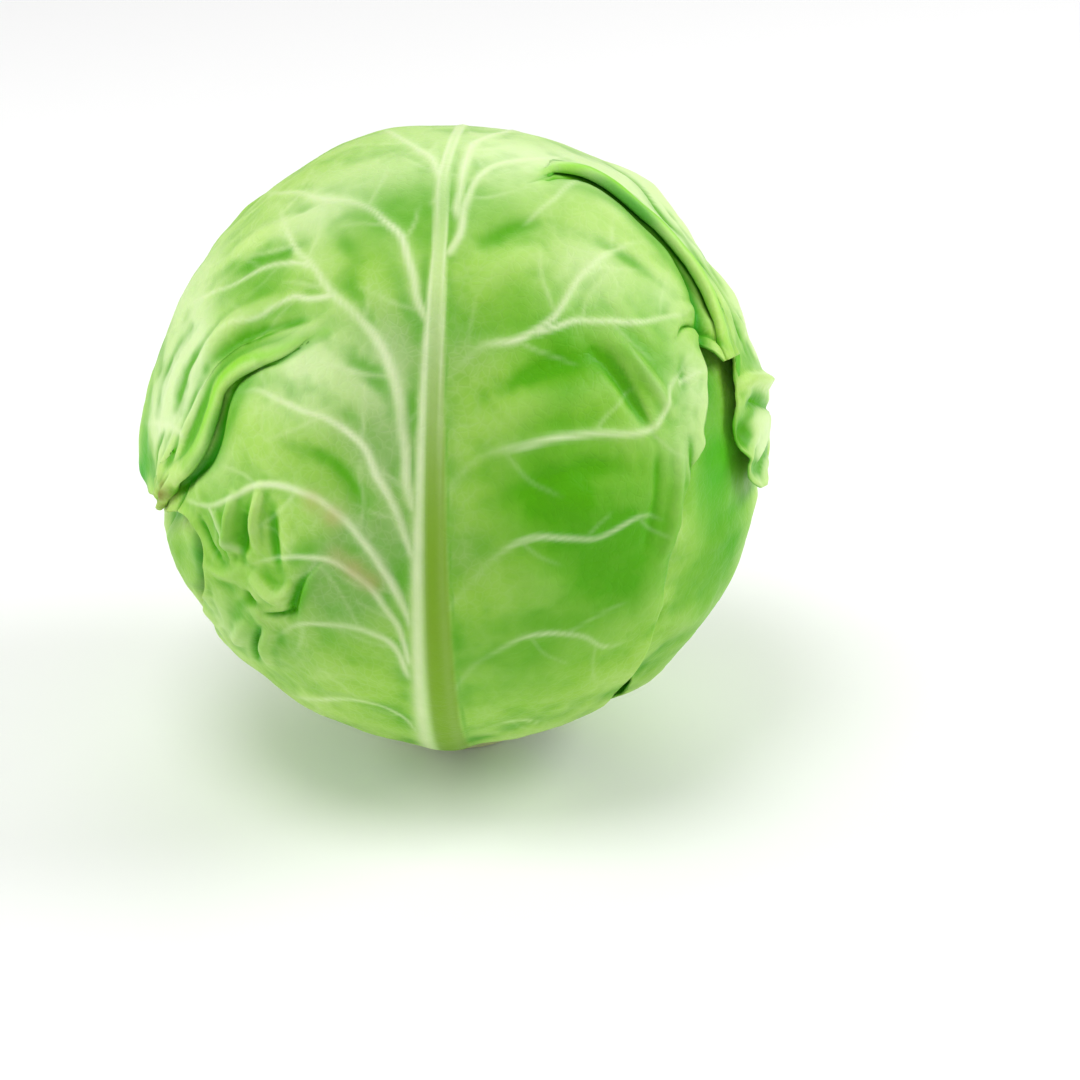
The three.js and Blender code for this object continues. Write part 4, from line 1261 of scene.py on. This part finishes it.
def leaf_material(name, blade, bright):
    """A waxy leaf: its green clouded, with painted shade in hollows, folds and creases and painted
    highlights on crests, lips and tops, and with pale veins and a faint net of them.
    """
    sheet = Sheet(name)
    clouds = sheet.noise(CLOUD_SCALE, 3.0).between(0.3, 0.72)
    small = sheet.noise(MOTTLE_SCALE, 3.0).between(0.3, 0.75)
    dark_green_and_shade = sheet.layer("dark_green_and_shade")
    ground = sheet.layer("ground") * (1 - dark_green_and_shade * 0.7)
    coarse_net = vein_net(sheet, COARSE_NET_CELL)
    fine_net = vein_net(sheet, FINE_NET_CELL)
    # Lighter in the clouds, and a painted highlight on the crests
    base = sheet.mix(clouds * 0.42 + sheet.layer("crest_highlight") * 0.4, blade, bright)
    base = sheet.mix(sheet.layer("bloom") * 0.9, base, BLOOM)
    # A pale tone that is partly a painted highlight
    base = sheet.mix(sheet.layer("pale_highlight") * 0.85, base, PALE_HIGHLIGHT)
    base = sheet.mix(ground * 0.17, base, PALE)
    base = sheet.mix((1 - coarse_net) * (1 - dark_green_and_shade) * clouds * 0.1, base, PALE)
    base = sheet.mix((1 - fine_net) * (1 - dark_green_and_shade) * 0.07, base, PALE)
    # The darker green, partly the leaf's own and partly painted shade
    base = sheet.mix(dark_green_and_shade * (0.95 + small * 0.2), base, DARK)
    # Painted shade in the hollows and along the midrib's edge
    base = sheet.mix(sheet.layer("hollow_shade") * 0.8, base, DARK)
    # Painted highlight on the pleats' lips
    base = sheet.mix(sheet.layer("rim") * 0.95, base, LIP_HIGHLIGHT)
    # The midrib's olive, partly painted shade
    base = sheet.mix(sheet.layer("rib_shade") * 0.95, base, OLIVE)
    base = sheet.mix(sheet.layer("vein") * (0.75 + small * 0.2), base, PALE)
    base = sheet.mix(sheet.layer("pink") * 0.5, base, PINKISH)
    base = sheet.mix(sheet.layer("brown") * small, base, BROWN)
    base = sheet.mix(sheet.layer("inner") * 0.8, base, INNER)
    base = sheet.mix(sheet.layer("tip") * 0.9, base, TIP)
    # Painted shade down in the creases and gaps
    base = sheet.mix(sheet.layer("deep") * 0.85, base, CREASE_SHADE)
    grain = sheet.noise(GRAIN_SCALE, 2.0)
    height = coarse_net * 0.35 + fine_net * 0.3 + grain * 0.15
    bumps = {"Height": height, "Strength": 0.45, "Distance": 0.0003}
    normal = sheet.node("ShaderNodeBump", {}, bumps)
    return sheet.finish(
        Base_Color=base, Roughness=0.4 + small * 0.12, Normal=normal, Specular_IOR_Level=0.14,
        Subsurface_Weight=0.1, Subsurface_Scale=0.004, Subsurface_Radius=(0.5, 1.0, 0.1),
    )


def stump_material():
    sheet = Sheet("cut_stump")
    grain = sheet.noise(120.0, 4.0)
    rings = sheet.node("ShaderNodeTexWave", {"wave_type": "RINGS", "rings_direction": "Z"}, {
        "Vector": sheet.place(), "Scale": 90.0, "Distortion": 2.0, "Detail": 2.0,
    })
    pale = sheet.mix(grain.between(0.35, 0.7), STUMP_PALE, STUMP_GREENISH)
    toned = sheet.mix(rings * 0.25, pale, STUMP_RING)
    normal = sheet.node("ShaderNodeBump", {}, {"Height": grain, "Strength": 0.4, "Distance": 0.0006})
    return sheet.finish(Base_Color=toned, Roughness=0.62, Normal=normal)


def heart_material():
    sheet = Sheet("heart_leaves")
    clouds = sheet.noise(30.0, 3.0).between(0.3, 0.7)
    net = vein_net(sheet, HEART_NET_CELL)
    base = sheet.mix(clouds, HEART_PALE, HEART_GREEN)
    base = sheet.mix((1 - net) * 0.4, base, HEART_VEIN)
    normal = sheet.node("ShaderNodeBump", {}, {"Height": net, "Strength": 0.3, "Distance": 0.0004})
    return sheet.finish(Base_Color=base, Roughness=0.5, Normal=normal)


def floor_material():
    sheet = Sheet("pale_floor")
    return sheet.finish(Base_Color=FLOOR_WHITE, Roughness=0.75, Specular_IOR_Level=0.15)


# The leaves

FRONT_LEAF = {
    "columns": 241, "apron_counts": [16, 34, 30, 32, 34, 32], "pleat_rows": 34,
    "hood_counts": [16, 30, 34, 24], "inner_share": 0.62, "over_top": True,
    "rib_half_width": 8, "rib_rise": 2.8, "rib_length": 175,
    "frill": 2.2, "margin_hold": away_from_pleats, "ripple": 1.2, "waves": 30, "turn": 0,
    "height": front_height, "cover": everywhere, "sunk": right_of_midrib, "crumple": 1.1,
    "veins": FRONT_VEINS, "tints": FRONT_TINTS, "wrinkles": FRONT_WRINKLES, "seed": 31,
}
WRAPPER_LEAF = {
    "inner_share": 0.62, "over_top": False, "frill": 1.5, "margin_hold": whole_margin, "sunk": nowhere,
}
BACK_LEAF = {
    **WRAPPER_LEAF, "guides": BACK_GUIDES, "columns": 241, "rows": 250,
    "rib_half_width": 7.5, "rib_rise": 2.8, "rib_length": 122, "ripple": 0.8, "waves": 26, "turn": 2,
    "height": back_height, "cover": clear_of_hood, "crumple": 1.3,
    "veins": BACK_VEINS, "tints": BACK_TINTS, "wrinkles": BACK_WRINKLES, "seed": 32,
}
LEFT_LEAF = {
    **WRAPPER_LEAF, "guides": LEFT_GUIDES, "columns": 201, "rows": 220,
    "rib_half_width": 7, "rib_rise": 2.2, "rib_length": 96, "ripple": 0.6, "waves": 24, "turn": 0.5,
    "height": left_height, "cover": clear_of_hood, "crumple": 0.9,
    "veins": LEFT_VEINS, "tints": LEFT_TINTS, "wrinkles": LEFT_WRINKLES, "seed": 33,
}
RIGHT_LEAF = {
    **WRAPPER_LEAF, "guides": RIGHT_GUIDES, "columns": 161, "rows": 180,
    "rib_half_width": 6, "rib_rise": 2.0, "rib_length": 110, "ripple": 0.4, "waves": 18, "turn": 1,
    "height": right_height, "cover": everywhere, "crumple": 0.5,
    "veins": RIGHT_VEINS, "tints": RIGHT_TINTS, "wrinkles": RIGHT_WRINKLES, "seed": 34,
}


def dress(piece, node, material):
    piece.data.materials.clear()
    piece.data.materials.append(material)
    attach(piece, "root")
    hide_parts(node)


def build_cabbage():
    leaf_green = leaf_material("outer_leaf", BLADE, BRIGHT)
    # The right leaf gets a darker copy of the leaf material: painted shade
    shaded_under_green = leaf_material("shaded_under_leaf", SHADED_UNDER_BLADE, SHADED_UNDER_BRIGHT)
    dress(pleated_leaf("front_leaf_blade", FRONT_LEAF), "front_leaf", leaf_green)
    dress(plain_leaf("back_leaf_blade", BACK_LEAF), "back_leaf", leaf_green)
    dress(plain_leaf("left_leaf_blade", LEFT_LEAF), "left_leaf", leaf_green)
    dress(plain_leaf("right_leaf_blade", RIGHT_LEAF), "right_leaf", shaded_under_green)
    dress(build_heart(), "heart", heart_material())
    dress(build_stump(), "stump", stump_material())


# Floor, lights and camera

def build_floor():
    deselect_all()
    bpy.ops.mesh.primitive_plane_add(size=FLOOR_SIZE, location=(0, 0, FLOOR_Z))
    floor = bpy.context.object
    floor.name = "studio_floor"
    floor.data.materials.append(floor_material())


def add_light(name, place, size, watts, tint):
    data = bpy.data.lights.new(name, "AREA")
    data.shape = "DISK"
    data.size = size
    data.energy = watts
    data.color = tint
    light = bpy.data.objects.new(name, data)
    light.location = place
    towards = Vector((0, 0, HEAD_CENTRE_Z * METRES)) - Vector(place)
    light.rotation_euler = towards.to_track_quat("-Z", "Y").to_euler()
    bpy.context.scene.collection.objects.link(light)


def build_lights():
    for light in LIGHTS:
        add_light(*light)
    world = bpy.data.worlds.new("studio")
    world.use_nodes = True
    background = world.node_tree.nodes["Background"]
    background.inputs["Color"].default_value = (1, 1, 1, 1)
    background.inputs["Strength"].default_value = WORLD_STRENGTH
    bpy.context.scene.world = world
    bpy.context.scene.view_settings.view_transform = "Standard"


def build_camera():
    elevation = math.radians(CAMERA_ELEVATION)
    back = Vector((0, -math.cos(elevation), math.sin(elevation)))
    upward = Vector((0, math.sin(elevation), math.cos(elevation)))
    focal_pixels = HEAD_RADIUS_PIXELS / math.tan(math.asin(HEAD_RADIUS / CAMERA_DISTANCE))
    middle = FRAME_PIXELS / 2
    aim = -focal_pixels * back
    aim += (middle - HEAD_CENTRE_PIXEL[0]) * Vector((1, 0, 0))
    aim -= (middle - HEAD_CENTRE_PIXEL[1]) * upward
    data = bpy.data.cameras.new("studio_camera")
    data.sensor_width = SENSOR_WIDTH
    data.lens = focal_pixels / FRAME_PIXELS * SENSOR_WIDTH
    camera = bpy.data.objects.new("studio_camera", data)
    camera.location = Vector((0, 0, HEAD_CENTRE_Z * METRES)) + back * CAMERA_DISTANCE * METRES
    camera.rotation_euler = aim.to_track_quat("-Z", "Y").to_euler()
    bpy.context.scene.collection.objects.link(camera)
    bpy.context.scene.camera = camera


build_cabbage()
build_floor()
build_lights()
build_camera()
